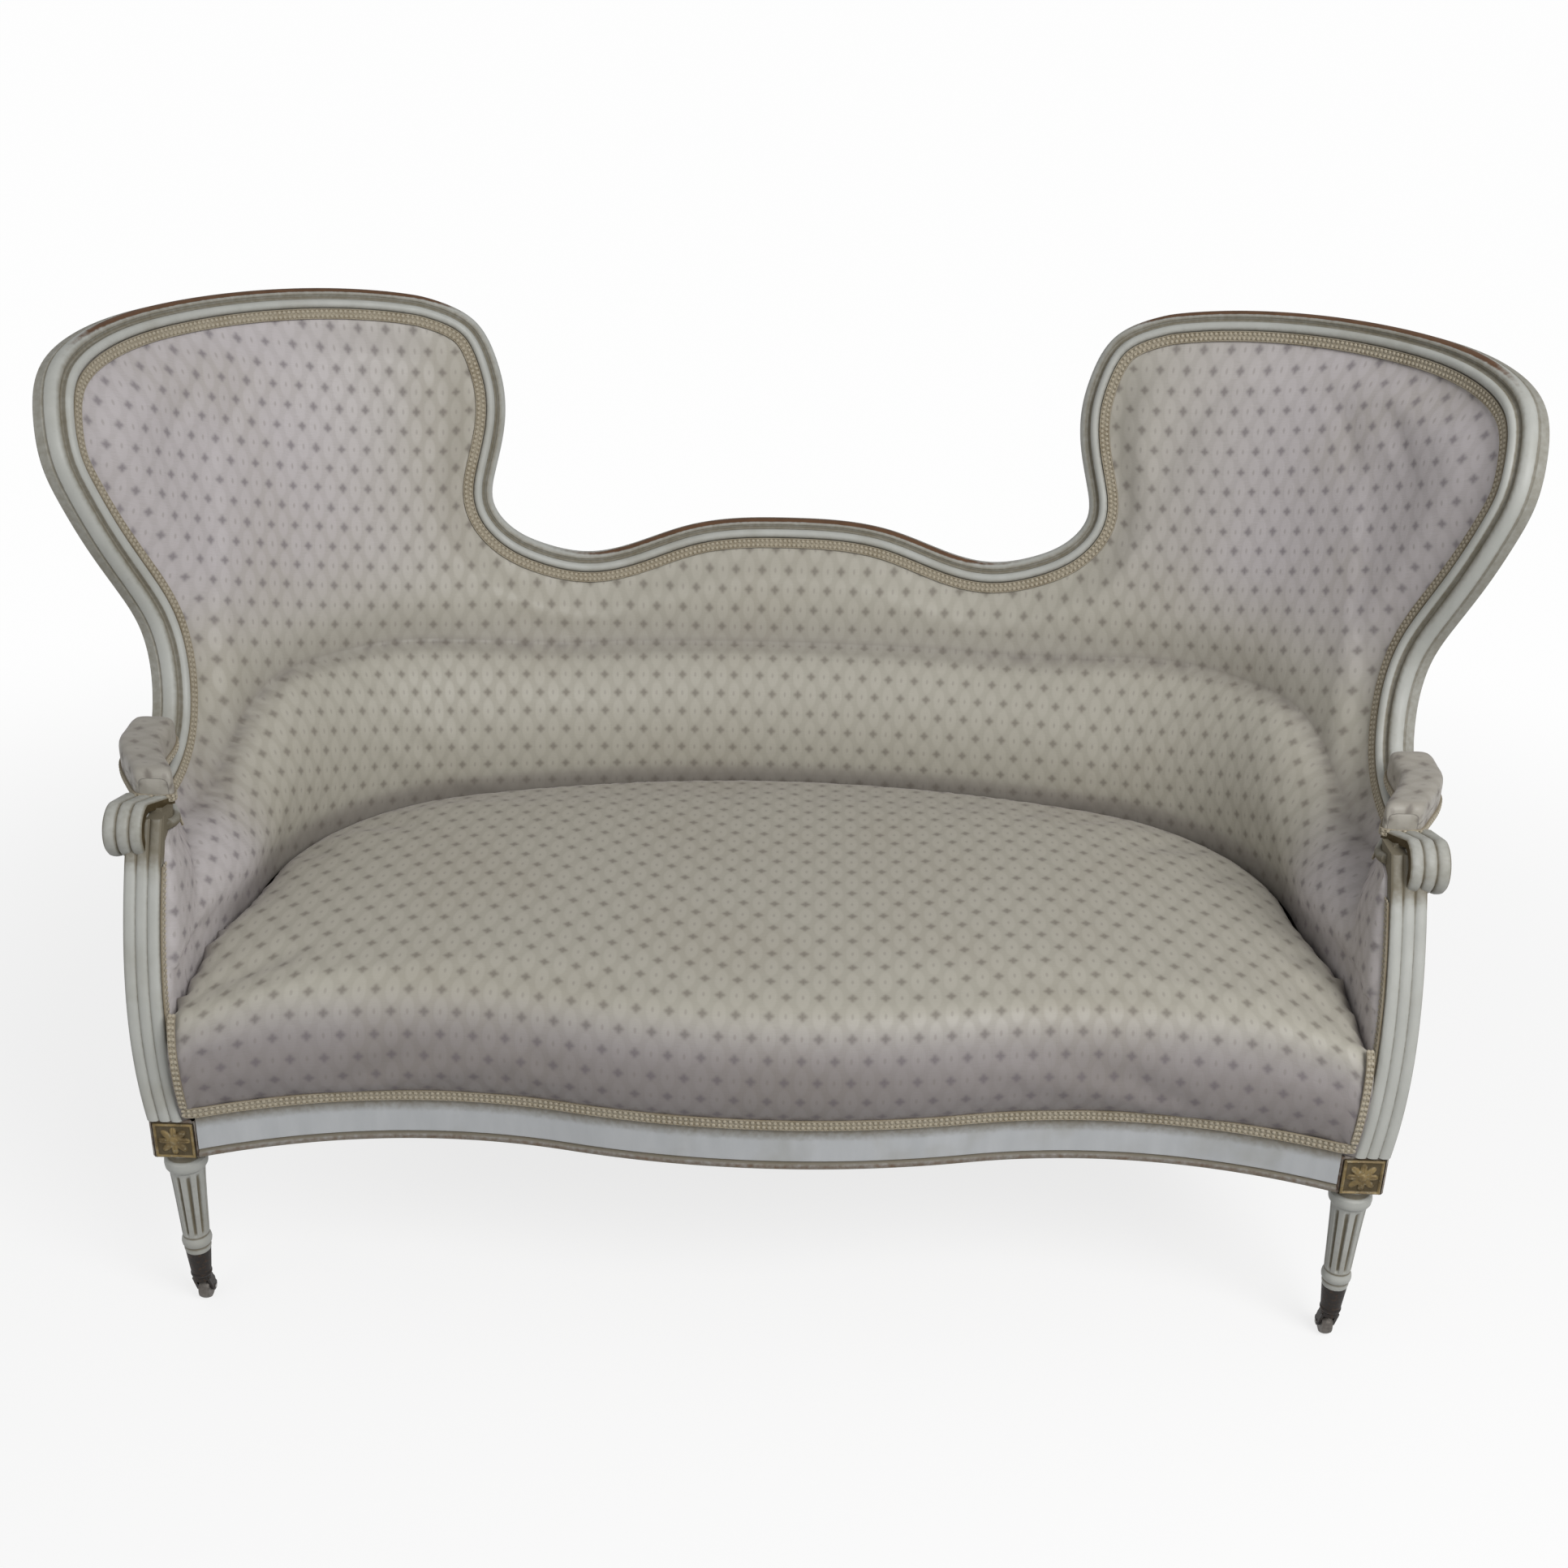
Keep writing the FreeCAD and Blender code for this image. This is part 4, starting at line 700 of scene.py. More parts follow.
# The hollow and the outer round are marked darker than glaze alone, as painted shade.
moulding += [(14.0, -6.0, 0.70, 0.0), (12.0, -7.2, 0.85, 0.0), (10.0, -6.6, 0.60, 0.0)]
for i in range(7):
    angle = math.pi / 2 * (1 + i / 6)
    rubbed = 1.35 * float(smooth(0.4, 3.0, i) * (1 - 0.5 * smooth(4.5, 6, i)))
    spot = edge_half + edge_half * math.cos(angle), edge_forward + edge_rise * math.sin(angle)
    moulding.append((*spot, max(0.75 - 0.22 * i, 0.1), rubbed))
moulding += [(0, -19.0, 0.35, 0.5), (1.0, -20.4, 0.7, 0.2), (1.0, -21.8, 0.7, 0.2),
             (0, -23.0, 0.55, 0.3), (0, -32.5, 0.55, 0.3), (1.3, -34.0, 0.6, 0.3),
             (25.0, -34.0, 0.3, 0.0)]


def rubbing(distance):
    """How far the outer edge is worn: most on the crest and on the tops of the wings."""
    middle = 0.80 * (1 - smooth(0.10, 0.34, distance))
    wing = smooth(show_knots[10], show_knots[12], distance) - smooth(show_knots[14], show_knots[16], distance)
    return float(0.35 + middle + 0.85 * wing)


def show_stations(first, last):
    """Distances from the crest, between two signed ones, each with the station there."""
    spacing = 0.006
    count = max(4, int(abs(last - first) / spacing))
    stations = []
    for i in range(count + 1):
        distance = first + (last - first) * i / count
        stations.append((abs(distance), *show_station(abs(distance), -1 if distance < 0 else 1)))
    return stations


def show_member(first, last):
    """Moulding between two signed distances from the middle of the crest."""
    rings, marks = [], []
    for distance, point, inward, front in show_stations(first, last):
        rings.append([point + inward * (a / 1000) + front * (f / 1000) for a, f, _, _ in moulding])
        wear = rubbing(distance)
        # Painted shade: the end of the arm darkens where it runs in under the scroll.
        scroll_shade = 0.7 * float(smooth(show_knots[-1] - 0.045, show_knots[-1] - 0.020, distance))
        marks += [(dark + scroll_shade, rubbed * wear) for _, _, dark, rubbed in moulding]
    return marked_loft(rings, marks)


crest = carved_piece("crest", show_member(-show_knots[2], show_knots[2]))
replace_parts(crest, "centre_crest")
back_members = [("swoop", "inner_swoop", 2, 11), ("wing_top", "wing_crest", 11, 15),
                ("stile", "outer_stile", 15, 23)]
for side, hand in both_sides:
    for name, node, first, last in back_members:
        part = show_member(side * show_knots[first], side * show_knots[last])
        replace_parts(carved_piece(name + "_" + hand, part), node + "_" + hand)

# Arms and their scrolls: the moulding runs forward along the side and rolls over into a volute.
# The roll is carved with three reeds, and its flat sides are gilded and darkened with painted shade.
arm_end = show_station(show_knots[-1], 1)[0]
scroll_radius, scroll_width, scroll_out, ribbon = 0.034, 0.042, 0.0346, 0.0115
scroll_turns, scroll_eye = 1.75, 0.008
scroll_ahead, scroll_below = 0.49 * scroll_radius, 0.55 * scroll_radius
scroll_centre = Vector((arm_end.x + scroll_out, arm_end.y - scroll_ahead, arm_top - scroll_below))
reed_points = 7


def on_side(point, side):
    """A point of the right half, or its mirror image on the left."""
    return Vector((side * point.x, point.y, point.z))


def reed_row(count=3):
    """Places across the roll from -0.5 to 0.5, with the height of the reed there from 0 to 1."""
    row = []
    for reed in range(count):
        for i in range(reed_points - (reed < count - 1)):
            share = i / (reed_points - 1)
            row.append(((reed + share) / count - 0.5, math.sqrt(max(0.0, 1 - (2 * share - 1) ** 2))))
    return row


def scroll_roll(side):
    """Reeded ribbon wound inward about the middle of the scroll."""
    rings, marks = [], []
    steps = 110
    begin, end = -2.0, 2 * math.pi * scroll_turns
    for i in range(steps + 1):
        angle = begin + (end - begin) * i / steps
        back = max(-angle, 0) * 0.022
        widen = 0.30 * back
        lead = Vector((-side * widen / 2, back, -0.22 * back))
        angle = max(angle, 0)
        shrink = (scroll_radius - scroll_eye) * angle / end
        radius = scroll_radius - shrink
        thick = ribbon * (1 - 0.35 * angle / end)
        ring = []
        for across, lift in reed_row() + [(0.5, None), (-0.5, None)]:
            reach = radius - thick if lift is None else radius - 0.0032 * (1 - lift)
            spread = side * across * (scroll_width + widen)
            offset = Vector((spread, -reach * math.sin(angle), reach * math.cos(angle)))
            ring.append(on_side(scroll_centre, side) + offset + lead)
            # The flat sides are marked dark all over, as painted shade.
            marks.append((0.9, 0.0) if lift is None else (0.36 + 0.5 * (1 - lift) ** 2, 0.3 * lift))
        rings.append(ring)
    return marked_loft(rings, marks)


def scroll_eye_button(side):
    """Turned button across the middle of the scroll."""
    rings, marks = [], []
    profile = [(0.45, -0.516), (0.8, -0.51), (1.0, -0.5), (1.0, 0.5), (0.8, 0.51), (0.45, 0.516)]
    around = 20
    for share, across in profile:
        ring = []
        for i in range(around):
            angle = 2 * math.pi * i / around
            reach = 0.95 * scroll_eye * share
            offset = Vector((across * scroll_width, reach * math.sin(angle), reach * math.cos(angle)))
            ring.append(on_side(scroll_centre, side) + offset)
        rings.append(ring)
        marks += [(0.7, 0.3)] * around
    return marked_loft(rings, marks)


for side, hand in both_sides:
    beam = show_member(side * show_knots[23], side * (show_knots[-1] + 0.004))
    carving = joined(beam, scroll_roll(side), scroll_eye_button(side))
    arm = carved_piece("arm_scroll_" + hand, carving, painted, gilded)
    beam_faces = len(beam[1])
    for face in arm.data.polygons:
        outward = abs(face.normal.x) > 0.9
        if outward and face.index >= beam_faces:
            face.material_index = 1
    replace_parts(arm, "arm_" + hand)

# Arm posts: bowed forward from under the scroll to the leg block, with three reeds down the front.
# Glaze fills the lines between the reeds and the edge beside the covering.
post_width, post_depth = 0.038, 0.036
post_foot = Vector((leg_x + 0.008, -leg_front + 0.002 + post_depth / 2, block_high))
post_spread = 0.019
post_head_y = scroll_centre.y + 0.1 * scroll_radius


def post_x(share):
    """How far out the middle of the right post stands at a share of its height."""
    return post_foot.x + post_spread * (1 - (1 - share) ** 3)


def post_centre(share):
    """Middle of the right post at a share of its height, 0 on the block and 1 in the scroll."""
    bow = 0.35 * share + 0.65 * share * share
    y = post_foot.y + (post_head_y - post_foot.y) * bow
    return Vector((post_x(share), y, post_foot.z + (scroll_centre.z - post_foot.z) * share))


def reeded_post(side):
    """Bowed post with three reeds in front and a line cut down each side behind them."""
    rings, marks = [], []
    steps = 40
    half = post_depth / 2
    flank = [(0.5, -half + 0.003, 0.4, 0.1), (0.47, -half + 0.0045, 0.6, 0),
             (0.5, -half + 0.006, 0.3, 0.1), (0.5, half, 0.2, 0.1)]
    section = []
    for across, lift in reed_row():
        section.append((across, -half - 0.003 * lift, 0.5 * (1 - lift) ** 3, 0.2 * lift))
    section += flank + [(-across, *rest) for across, *rest in reversed(flank)]
    for i in range(steps + 1):
        share = 1.06 * i / steps
        centre = post_centre(share)
        # Painted shade: the head of the post darkens beside and under the scroll.
        scroll_shade = 0.8 * float(smooth(0.86, 0.96, share))
        ring = []
        for across, deep, _, _ in section:
            ring.append(Vector((side * (centre.x + across * post_width), centre.y + deep, centre.z)))
        rings.append(ring)
        marks += [(dark + scroll_shade, rubbed) for _, _, dark, rubbed in section]
    return marked_loft(rings, marks)


for side, hand in both_sides:
    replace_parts(carved_piece("post_" + hand, reeded_post(side)), "arm_post_" + hand)

# Covering: a pale satin damask, silver on ivory, with small dark stars in staggered rows.
# Short dashes and pale ovals lie between the stars.
# It is cut from the piece with its rows level across the back and follows the tub round to the arms.
star_step, star_row = 0.0353, 0.0243
damask = Finish("star_damask", {"Sheen Weight": 0.2, "Sheen Roughness": 0.4,
                                "Sheen Tint": tone(222, 214, 222), "Specular IOR Level": 0.4})
cloth = damask.node("UVMap", uv_map="cut")
cloth_x = damask.node("SeparateXYZ", {0: cloth}, "X")
cloth_y = damask.node("SeparateXYZ", {0: cloth}, "Y")
row_place = cloth_y / star_row
row = math.floor(row_place)
step_place = cloth_x / star_step + 0.5 * (row % 2.0)
across_star = (step_place - math.floor(step_place) - 0.5) * (1000 * star_step)
up_star = (row_place - row - 0.5) * (1000 * star_row)
square = across_star * across_star + up_star * up_star + 0.01
pinch = across_star * up_star * across_star * up_star / (square * square)
star = 1 - damask.fade(square ** 0.5 + 5.0 * pinch, 1.8, 8.2)
between = 500 * star_step - abs(across_star)
dash = 1 - damask.fade((4.0 * between * between + up_star * up_star) ** 0.5, 1.6, 4.6)
beyond = 1000 * star_row - abs(up_star)
oval_wide, oval_tall = 8, 17
oval_here = between * between / oval_wide ** 2 + up_star * up_star / oval_tall ** 2
oval_next = across_star * across_star / oval_wide ** 2 + beyond * beyond / oval_tall ** 2
oval = 1 - damask.fade(damask.node("Math", {0: oval_here, 1: oval_next}, operation="MINIMUM"), 0.45, 1.2)
weft = damask.noise(60, 2, (1, 22, 1), cloth)
warp = damask.noise(60, 2, (22, 1, 1), cloth)
soil = damask.noise(5, 3)
painted_sheen = damask.attribute("painted_sheen")
painted_shade = damask.attribute("painted_shade")
# Painted sheen: a lighter mauve ground where the satin would catch the light, on the wings and the seat
# front.
ground = damask.mix(painted_sheen, tone(171, 167, 155), tone(188, 182, 184))
ground = damask.mix(damask.fade(soil, 0.45, 0.7) * 0.35, ground, tone(160, 153, 139))
ground = damask.mix(damask.fade(weft, 0.3, 0.7) * 0.2, ground, tone(152, 147, 138))
ground = damask.mix(oval * 0.28, ground, damask.mix(painted_sheen, tone(193, 189, 178), tone(206, 200, 203)))
ground = damask.mix(dash * 0.35, ground, tone(130, 122, 116))
# Painted shade: a dark grey laid in the creases, along the lumbar ridge and down the front of the seat.
ground = damask.mix(painted_shade * 0.9, ground, tone(106, 99, 95))
sprig = damask.mix(painted_sheen, tone(98, 90, 82), tone(94, 86, 94))
damask.set("Base Color", damask.mix(star * (0.42 + 0.3 * warp), ground, sprig))
damask.set("Roughness", 0.5 + 0.12 * weft - 0.1 * oval + 0.15 * star)
damask.bump(weft * 0.25 + warp * 0.25 + oval * 0.3 - star * 0.4, 0.0004)


def cut_cloth(piece, places, sheen_shares, shade_shares):
    """Give a covered piece its place on the flat cloth and its shares of painted sheen and painted shade,
    point by point.
    """
    layer = piece.data.uv_layers.new(name="cut")
    places = np.asarray(places, dtype=np.float32)
    corners = np.empty(len(piece.data.loops), dtype=np.int32)
    piece.data.loops.foreach_get("vertex_index", corners)
    layer.data.foreach_set("uv", places[corners].ravel())
    mark(piece, "painted_sheen", sheen_shares)
    mark(piece, "painted_shade", shade_shares)


lean_share = lean / math.hypot(1, lean)
cone_bow, cone_corner = bow_radius / lean_share, corner_radius / lean_share
open_turn, open_side = lean_share * turn, lean_share * math.pi / 2


def flat_cloth(along, slant):
    """Where a place on the leaning tub, a distance up from its level, lies on the flat cloth."""
    run = abs(along)
    if run < bow_run:
        angle = lean_share * run / bow_radius
        x, y = (cone_bow + slant) * math.sin(angle), (cone_bow + slant) * math.cos(angle) - cone_bow
        return math.copysign(x, along), y
    angle = min(open_turn + lean_share * (run - bow_run) / corner_radius, open_side)
    past = max(run - side_start, 0)
    x = (cone_bow - cone_corner) * math.sin(open_turn) + (cone_corner + slant) * math.sin(angle)
    y = (cone_bow - cone_corner) * math.cos(open_turn) + (cone_corner + slant) * math.cos(angle) - cone_bow
    return math.copysign(x + past * math.cos(angle), along), y - past * math.sin(angle)


def stretch_cloth(piece, front_faces, tacked, pressure, most):
    """Let the stuffing press the front of a shell out, each point by no more than a distance.

    The rim and the rear of the shell and the tacked points are held."""
    mesh = piece.data
    count, last_moment = len(mesh.vertices), 20
    rim = {corner for edge in rim_of(front_faces) for corner in edge}
    held = rim | {int(i) for i in tacked} | set(range(count // 2, count))
    group = piece.vertex_groups.new(name="held")
    group.add(sorted(held), 1.0, "REPLACE")
    tension = piece.modifiers.new("tension", "CLOTH")
    tension.settings.quality = 6
    tension.settings.mass = 0.3
    tension.settings.tension_stiffness = 20
    tension.settings.compression_stiffness = 20
    tension.settings.shear_stiffness = 10
    tension.settings.bending_stiffness = 2
    tension.settings.vertex_group_mass = "held"
    tension.settings.use_pressure = True
    tension.settings.uniform_pressure_force = pressure
    tension.settings.effector_weights.gravity = 0
    tension.collision_settings.use_collision = False
    tension.point_cache.frame_start = 1
    tension.point_cache.frame_end = last_moment
    scene = bpy.context.scene
    for moment in range(1, last_moment + 1):
        scene.frame_set(moment)
    seen = piece.evaluated_get(bpy.context.evaluated_depsgraph_get())
    before = np.empty(3 * count, dtype=np.float32)
    after = np.empty_like(before)
    mesh.vertices.foreach_get("co", before)
    seen.data.vertices.foreach_get("co", after)
    shift = (after - before).reshape(-1, 3)
    far = np.linalg.norm(shift, axis=1, keepdims=True)
    shift = shift * np.minimum(1.0, most / np.maximum(far, 1e-9))
    piece.modifiers.remove(tension)
    piece.vertex_groups.remove(group)
    mesh.vertices.foreach_set("co", before + shift.ravel())
    mesh.update()
    scene.frame_set(1)


# Seat: springs and hair under one tight cover that swells over the serpentine rail in front.
# Its edge rolls down into the crease along the back and sides.
seat_half, seat_edge, seat_crown, crease_out = 0.609, 0.410, 0.437, -0.046
seat_overhang, edge_roll, crease_roll = 0.015, 0.026, 0.024
front_rows = 14


def along_side(y):
    """Distance along the tub, from the middle of the back, of a place on its straight side."""
    return side_start + corner_centre.y - y


def side_face(run):
    """How far out the roll along the side meets the seat: it thins away towards the post."""
    return -0.0453 + 0.028 * smooth(0.860, 1.020, run)


def seat_side(up):
    """Half the width of the seat, which spreads to the posts, a distance up its front and over its top."""
    run = along_side(seat_top_y(seat_half) + up - front_length)
    top = half_width + float(side_face(run)) - 0.0005
    return min(top, 0.6285 + 0.0100 * up / front_length)


def seat_low(x):
    """Foot of the seat front: on the rail, and at its ends on the leg blocks."""
    return rail_high + 0.0003 - (rail_high - block_high) * float(smooth(0.611, 0.6145, abs(x)))


def seat_corner(x):
    """How far the top edge of the seat sinks towards a front corner."""
    return 0.020 * float(smooth(0.520, 0.635, abs(x)))


def seat_front(x):
    """Points (depth, height) of the front of the seat, from the rail up to its top edge."""
    low = seat_low(x)
    face = front_y(min(abs(x), rail_end)) + 0.002
    proud = seat_overhang * (1 - 0.6 * float(smooth(0.75, 1.0, abs(x) / seat_half)))
    tuck = 38
    tuck_cos, tuck_sin = math.cos(math.radians(tuck)), math.sin(math.radians(tuck))
    rows = []
    for i in range(front_rows + 1):
        angle = math.radians(-tuck + (tuck + 90) * i / front_rows)
        bulge = (math.cos(angle) - tuck_cos) / (1 - tuck_cos)
        up = (math.sin(angle) + tuck_sin) / (1 + tuck_sin)
        if angle < 0:
            y = face - proud * bulge
        else:
            y = face - proud + (edge_roll + proud) * (1 - math.cos(angle))
        rows.append((y, low + (seat_edge - seat_corner(x) - low) * up))
    return rows


front_lengths = [0.0]
for (y0, z0), (y1, z1) in zip(seat_front(0), seat_front(0)[1:]):
    front_lengths.append(front_lengths[-1] + math.hypot(y1 - y0, z1 - z0))
front_length = front_lengths[-1]


def seat_top_y(x):
    return seat_front(x)[-1][0]


def seat_point(x, up):
    """Place on the seat at a distance up its front and then back over its top."""
    rows = seat_front(x)
    if up < front_length:
        i = int(np.clip(np.searchsorted(front_lengths, up) - 1, 0, front_rows - 1))
        share = (up - front_lengths[i]) / (front_lengths[i + 1] - front_lengths[i])
        (y0, z0), (y1, z1) = rows[i], rows[i + 1]
        return Vector((x, y0 + (y1 - y0) * share, z0 + (z1 - z0) * share))
    y = rows[-1][0] + up - front_length
    span = max(rear_y(min(abs(x), seat_half - 0.001), crease_out) - rows[-1][0], 0.05)
    share = min((up - front_length) / span, 1.0)
    swell = (seat_crown - seat_edge) * (1 - 0.75 * min(abs(x) / seat_half, 1.0) ** 2)
    crown_place = 0.55
    if share < crown_place:
        dome = 1 - (1 - share / crown_place) ** 2
    else:
        dome = 1 - 0.75 * ((share - crown_place) / (1 - crown_place)) ** 2
    sunk = seat_corner(x) * (1 - float(smooth(0.0, 0.180, up - front_length)))
    return Vector((x, y, seat_edge - sunk + swell * dome))


side_steps = 28
seat_border = [(seat_side(0) * (i / 40 - 1), 0.0) for i in range(81)]
rear_border = []
side_length = front_length + corner_centre.y - seat_top_y(seat_half)
for i in range(1, side_steps):
    up = side_length * i / side_steps
    rear_border.append((seat_side(up), up))
for i in range(121):
    x = seat_half * math.cos(math.pi * i / 120)
    rear_border.append((x, front_length + rear_y(x, crease_out) - seat_top_y(x)))
for x, up in reversed(rear_border[:side_steps - 1]):
    rear_border.append((-x, up))
seat_border += rear_border
seat_spots, seat_faces = net_over(seat_border, 0.011)
crease = np.array([spot for spot in rear_border if spot[1] > 0.03])
seat_depth = distance_to(crease, seat_spots)
seat_points = []
for (x, up), depth in zip(seat_spots, seat_depth):
    point = seat_point(x, up)
    near = min(depth / crease_roll, 1.0)
    drop = crease_roll * (1 - math.sqrt(max(0.0, 1 - (1 - near) ** 2)))
    point.z -= drop * float(smooth(0.4 * front_length, 1.1 * front_length, up))
    seat_points.append(point)
seat_under = []
for point in seat_points:
    behind = front_y(min(abs(point.x), rail_end)) + 0.004 + 0.25 * (point.z - block_high)
    seat_under.append(Vector((point.x, max(point.y, behind), min(seat_low(point.x) - 0.001, point.z))))
points, faces = shell(seat_points, seat_under, seat_faces)
seat = new_piece("seat_cushion", points, faces, damask, smooth_angle=70)
seat_cut = [(x, up) for x, up in seat_spots]
# Painted sheen: the front of the seat takes the mauve ground, which fades out over its top edge.
seat_sheen = [float(0.9 * (1 - smooth(0.5 * front_length, 0.95 * front_length, up))) for _, up in seat_spots]
seat_climb = seat_spots[:, 1] / front_length
# Painted shade: dark in the crease along the back and sides of the seat, and darker towards the foot of its
# front.
seat_shade = 0.8 * (1 - smooth(0.001, 0.014, seat_depth)) * smooth(0.9, 1.1, seat_climb)
seat_shade = list(seat_shade + 0.76 * (1 - smooth(0.40, 0.95, seat_climb)))
cut_cloth(seat, seat_cut * 2, seat_sheen * 2, seat_shade * 2)
stretch_cloth(seat, seat_faces, [], 2.0, 0.004)
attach(seat, "frame")
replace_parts(seat, "seat_cover", "seat_stuffing")

# Inside back: one covering over hair stuffing, from the crest and wings down into the crease of the seat.
# A firmer roll at the small of the back shows as a soft ridge that falls away along the sides.
frame_cover = 0.0266
back_low, roll_foot = 0.395, 0.431


def true_scale(along, height):
    """How much longer the leaning surface is round the corner than the plan line."""
    run = abs(along)
    if run > side_start:
        return 1.0
    return 1 + leaned(height) / (bow_radius if run < bow_run else corner_radius)


def cover_line(distance, first=0.0):
    """Line on the opened-out tub at a distance inside the show-wood, from a place along it to its end."""
    steps = 260
    line = []
    for i in range(steps + 1):
        (along, height), run = show_line(first + (show_knots[-1] - first) * i / steps)
        scale = true_scale(along, height)
        way = np.array((run[0] * scale, run[1]))
        way = way / np.hypot(*way)
        line.append((along + way[1] * distance / scale, height - way[0] * distance))
    return line


def post_share(height):
    """Share of the height of a post at a height above the floor."""
    return (height - post_foot.z) / (scroll_centre.z - post_foot.z)


def back_foot(along):
    """Height at which the covering ends out of sight behind the seat, lower beside the posts."""
    return back_low - 0.060 * float(smooth(0.930, 0.990, abs(along)))


top_line = cover_line(frame_cover)
post_line = []
post_top, post_steps, past_post = 0.549, 16, 1.1
for i in range(post_steps + 1):
    height = post_top - (post_top - back_foot(past_post)) * i / post_steps
    post_line.append((along_side(post_centre(post_share(height)).y - 0.004), height))
half_line = top_line + post_line
bottom_count = 90
bottom_line = []
for i in range(1, bottom_count):
    along = half_line[-1][0] * (1 - 2 * i / bottom_count)
    bottom_line.append((along, back_foot(along)))
back_border = half_line + bottom_line + [(-along, height) for along, height in reversed(half_line[1:])]
wood_edge = np.array([(-along, height) for along, height in reversed(top_line[1:])] + top_line)
post_edge = np.array(post_line + [(-along, height) for along, height in post_line])


def ridge(along):
    """Height of the crease over the roll at the small of the back."""
    run = np.abs(along)
    rising = 0.575 + 0.023 * smooth(0.250, 0.540, run)
    falling = rising + (0.512 - rising) * smooth(0.640, 0.850, run)
    return falling + (0.420 - falling) * smooth(0.880, 1.075, run)


def post_face(height):
    """How far out the covering lies beside the inner face of a post."""
    return post_x(post_share(height)) - post_width / 2 - 0.0035 - half_width


def padded_base(run, height):
    """The leaning tub, which passes into the face of the post towards the front."""
    near_post = smooth(turn_begin, turn_end, run)
    return leaned(height) * (1 - near_post) + post_face(height) * near_post


def back_profile(run, height, wood):
    """How far out the front of the covering lies, a distance inside the show-wood."""
    top = ridge(run)
    over = height - top
    dome = 0.7 * smooth(0.010, 0.055, wood) + 0.3 * smooth(0.045, 0.140, wood)
    swell = (0.029 - 0.017 * smooth(0.800, 0.900, run)) * dome - 0.0012
    hollow = 0.009 * (1 - smooth(0.500, 0.720, run))
    upper = padded_base(run, height) - swell + hollow * (1 - smooth(0.002, 0.070, over))
    crease = padded_base(run, top) - swell + hollow
    share = np.clip((height - roll_foot) / np.maximum(top - roll_foot, 0.012), 0, 1)
    face = side_face(run) - 0.006 * np.sin(math.pi * share)
    roll = face + (crease - face) * (1 - np.sqrt(1 - share * share))
    return np.where(over < 0, roll, upper)


ridge_rows = []
for over in (-0.036, -0.027, -0.019, -0.012, -0.007, -0.003, 0.0, 0.005, 0.011, 0.018):
    run = np.arange(-1.07, 1.07, 0.0075)
    ridge_rows.append(np.column_stack([run, ridge(run) + over]))
back_spots, back_faces = net_over(back_border, 0.0090, ridge_rows)
run, height = np.abs(back_spots[:, 0]), back_spots[:, 1]
wood_distance, post_distance = distance_to(wood_edge, back_spots), distance_to(post_edge, back_spots)
front_out = back_profile(run, height, soft_distance(wood_edge, back_spots))
rounding = np.sqrt(1 - (1 - np.clip(post_distance / 0.030, 0, 1)) ** 2)
post_out = post_face(height)
front_out = post_out + (front_out - post_out) * np.where(run > 0.95, rounding, 1.0)
upright_front = -0.045 + 0.3026 * (height - 0.279)
rear_out = np.maximum(np.minimum(padded_base(run, height) + 0.007, upright_front - 0.0015), front_out + 0.003)
back_front = [plumb(s, z, out) for (s, z), out in zip(back_spots, front_out)]
back_rear = [plumb(s, z, out) for (s, z), out in zip(back_spots, rear_out)]
points, faces = shell(back_front, back_rear, back_faces)
inside_back = new_piece("inside_back", points, faces, damask, smooth_angle=75)
climb, profile_steps = np.zeros(len(run)), 60
rung = (height - back_low) / profile_steps
for i in range(profile_steps):
    lower, higher = (back_profile(run, back_low + rung * k, 0.2) for k in (i, i + 1))
    climb += np.hypot(rung, higher - lower)
back_cut = [flat_cloth(s, rise_here - level + back_low) for s, rise_here in zip(back_spots[:, 0], climb)]
# Painted sheen: the mauve ground on the wings and round the corners towards the arms.
back_sheen = 0.95 * smooth(0.340, 0.600, run) * smooth(0.600, 0.760, height)
back_sheen = np.maximum(back_sheen, 0.85 * smooth(0.760, 0.900, run))
# Painted shade: a dark line on the ridge over the roll, a band above it, and the foot of the back by the
# seat, all fading out towards the arms.
over = height - ridge(run)
back_shade = 0.35 * np.exp(-(over / 0.006) ** 2) + np.where(over > 0, 0.30 * (1 - smooth(0.0, 0.060, over)), 0)
back_shade = back_shade * (1 - smooth(0.850, 1.000, run))
back_shade = list(back_shade + 0.7 * (1 - smooth(0.418, 0.440, height)) * (1 - smooth(0.90, 0.99, run)))
cut_cloth(inside_back, back_cut * 2, list(back_sheen) * 2, back_shade * 2)
stretch_cloth(inside_back, back_faces, np.flatnonzero(wood_distance < 0.026), 1.0, 0.002)
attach(inside_back, "frame")
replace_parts(inside_back, "lower_back_roll", "side_roll_left", "side_roll_right", "upper_back_pad",
            "wing_pad_left", "wing_pad_right")

# Arm pads: a small stuffed rest on each arm behind the scroll, in the same damask.
# Each is flat below, straight at the sides and arched over the top, with a slightly domed end.
pad_begin, pad_end, pad_half, pad_height = 0.838, 0.980, 0.0252, 0.0365
arm_line = np.array(cover_line(0.0, show_knots[22]))


def arm_floor(along):
    """Height of the top of the arm, where a pad rests on it."""
    return float(np.interp(along, arm_line[8:, 0], arm_line[8:, 1])) - 0.0026


def pad_full(share):
    """How full a pad is at a share of its length, 0 at its ends."""
    return math.sqrt(max(0.0, 1 - abs(2 * share - 1) ** 10))


def pad_side(share):
    """Half the width of a pad, a little less towards the scroll."""
    return pad_half * (0.72 + 0.28 * pad_full(share)) * (1 - 0.10 * share)


def pad_middle(along):
    """Middle of the arm under a pad and the direction outward there."""
    point, out = tub(along)
    return point + out * (leaned(arm_top) + arm_turn(along) + 0.017), out


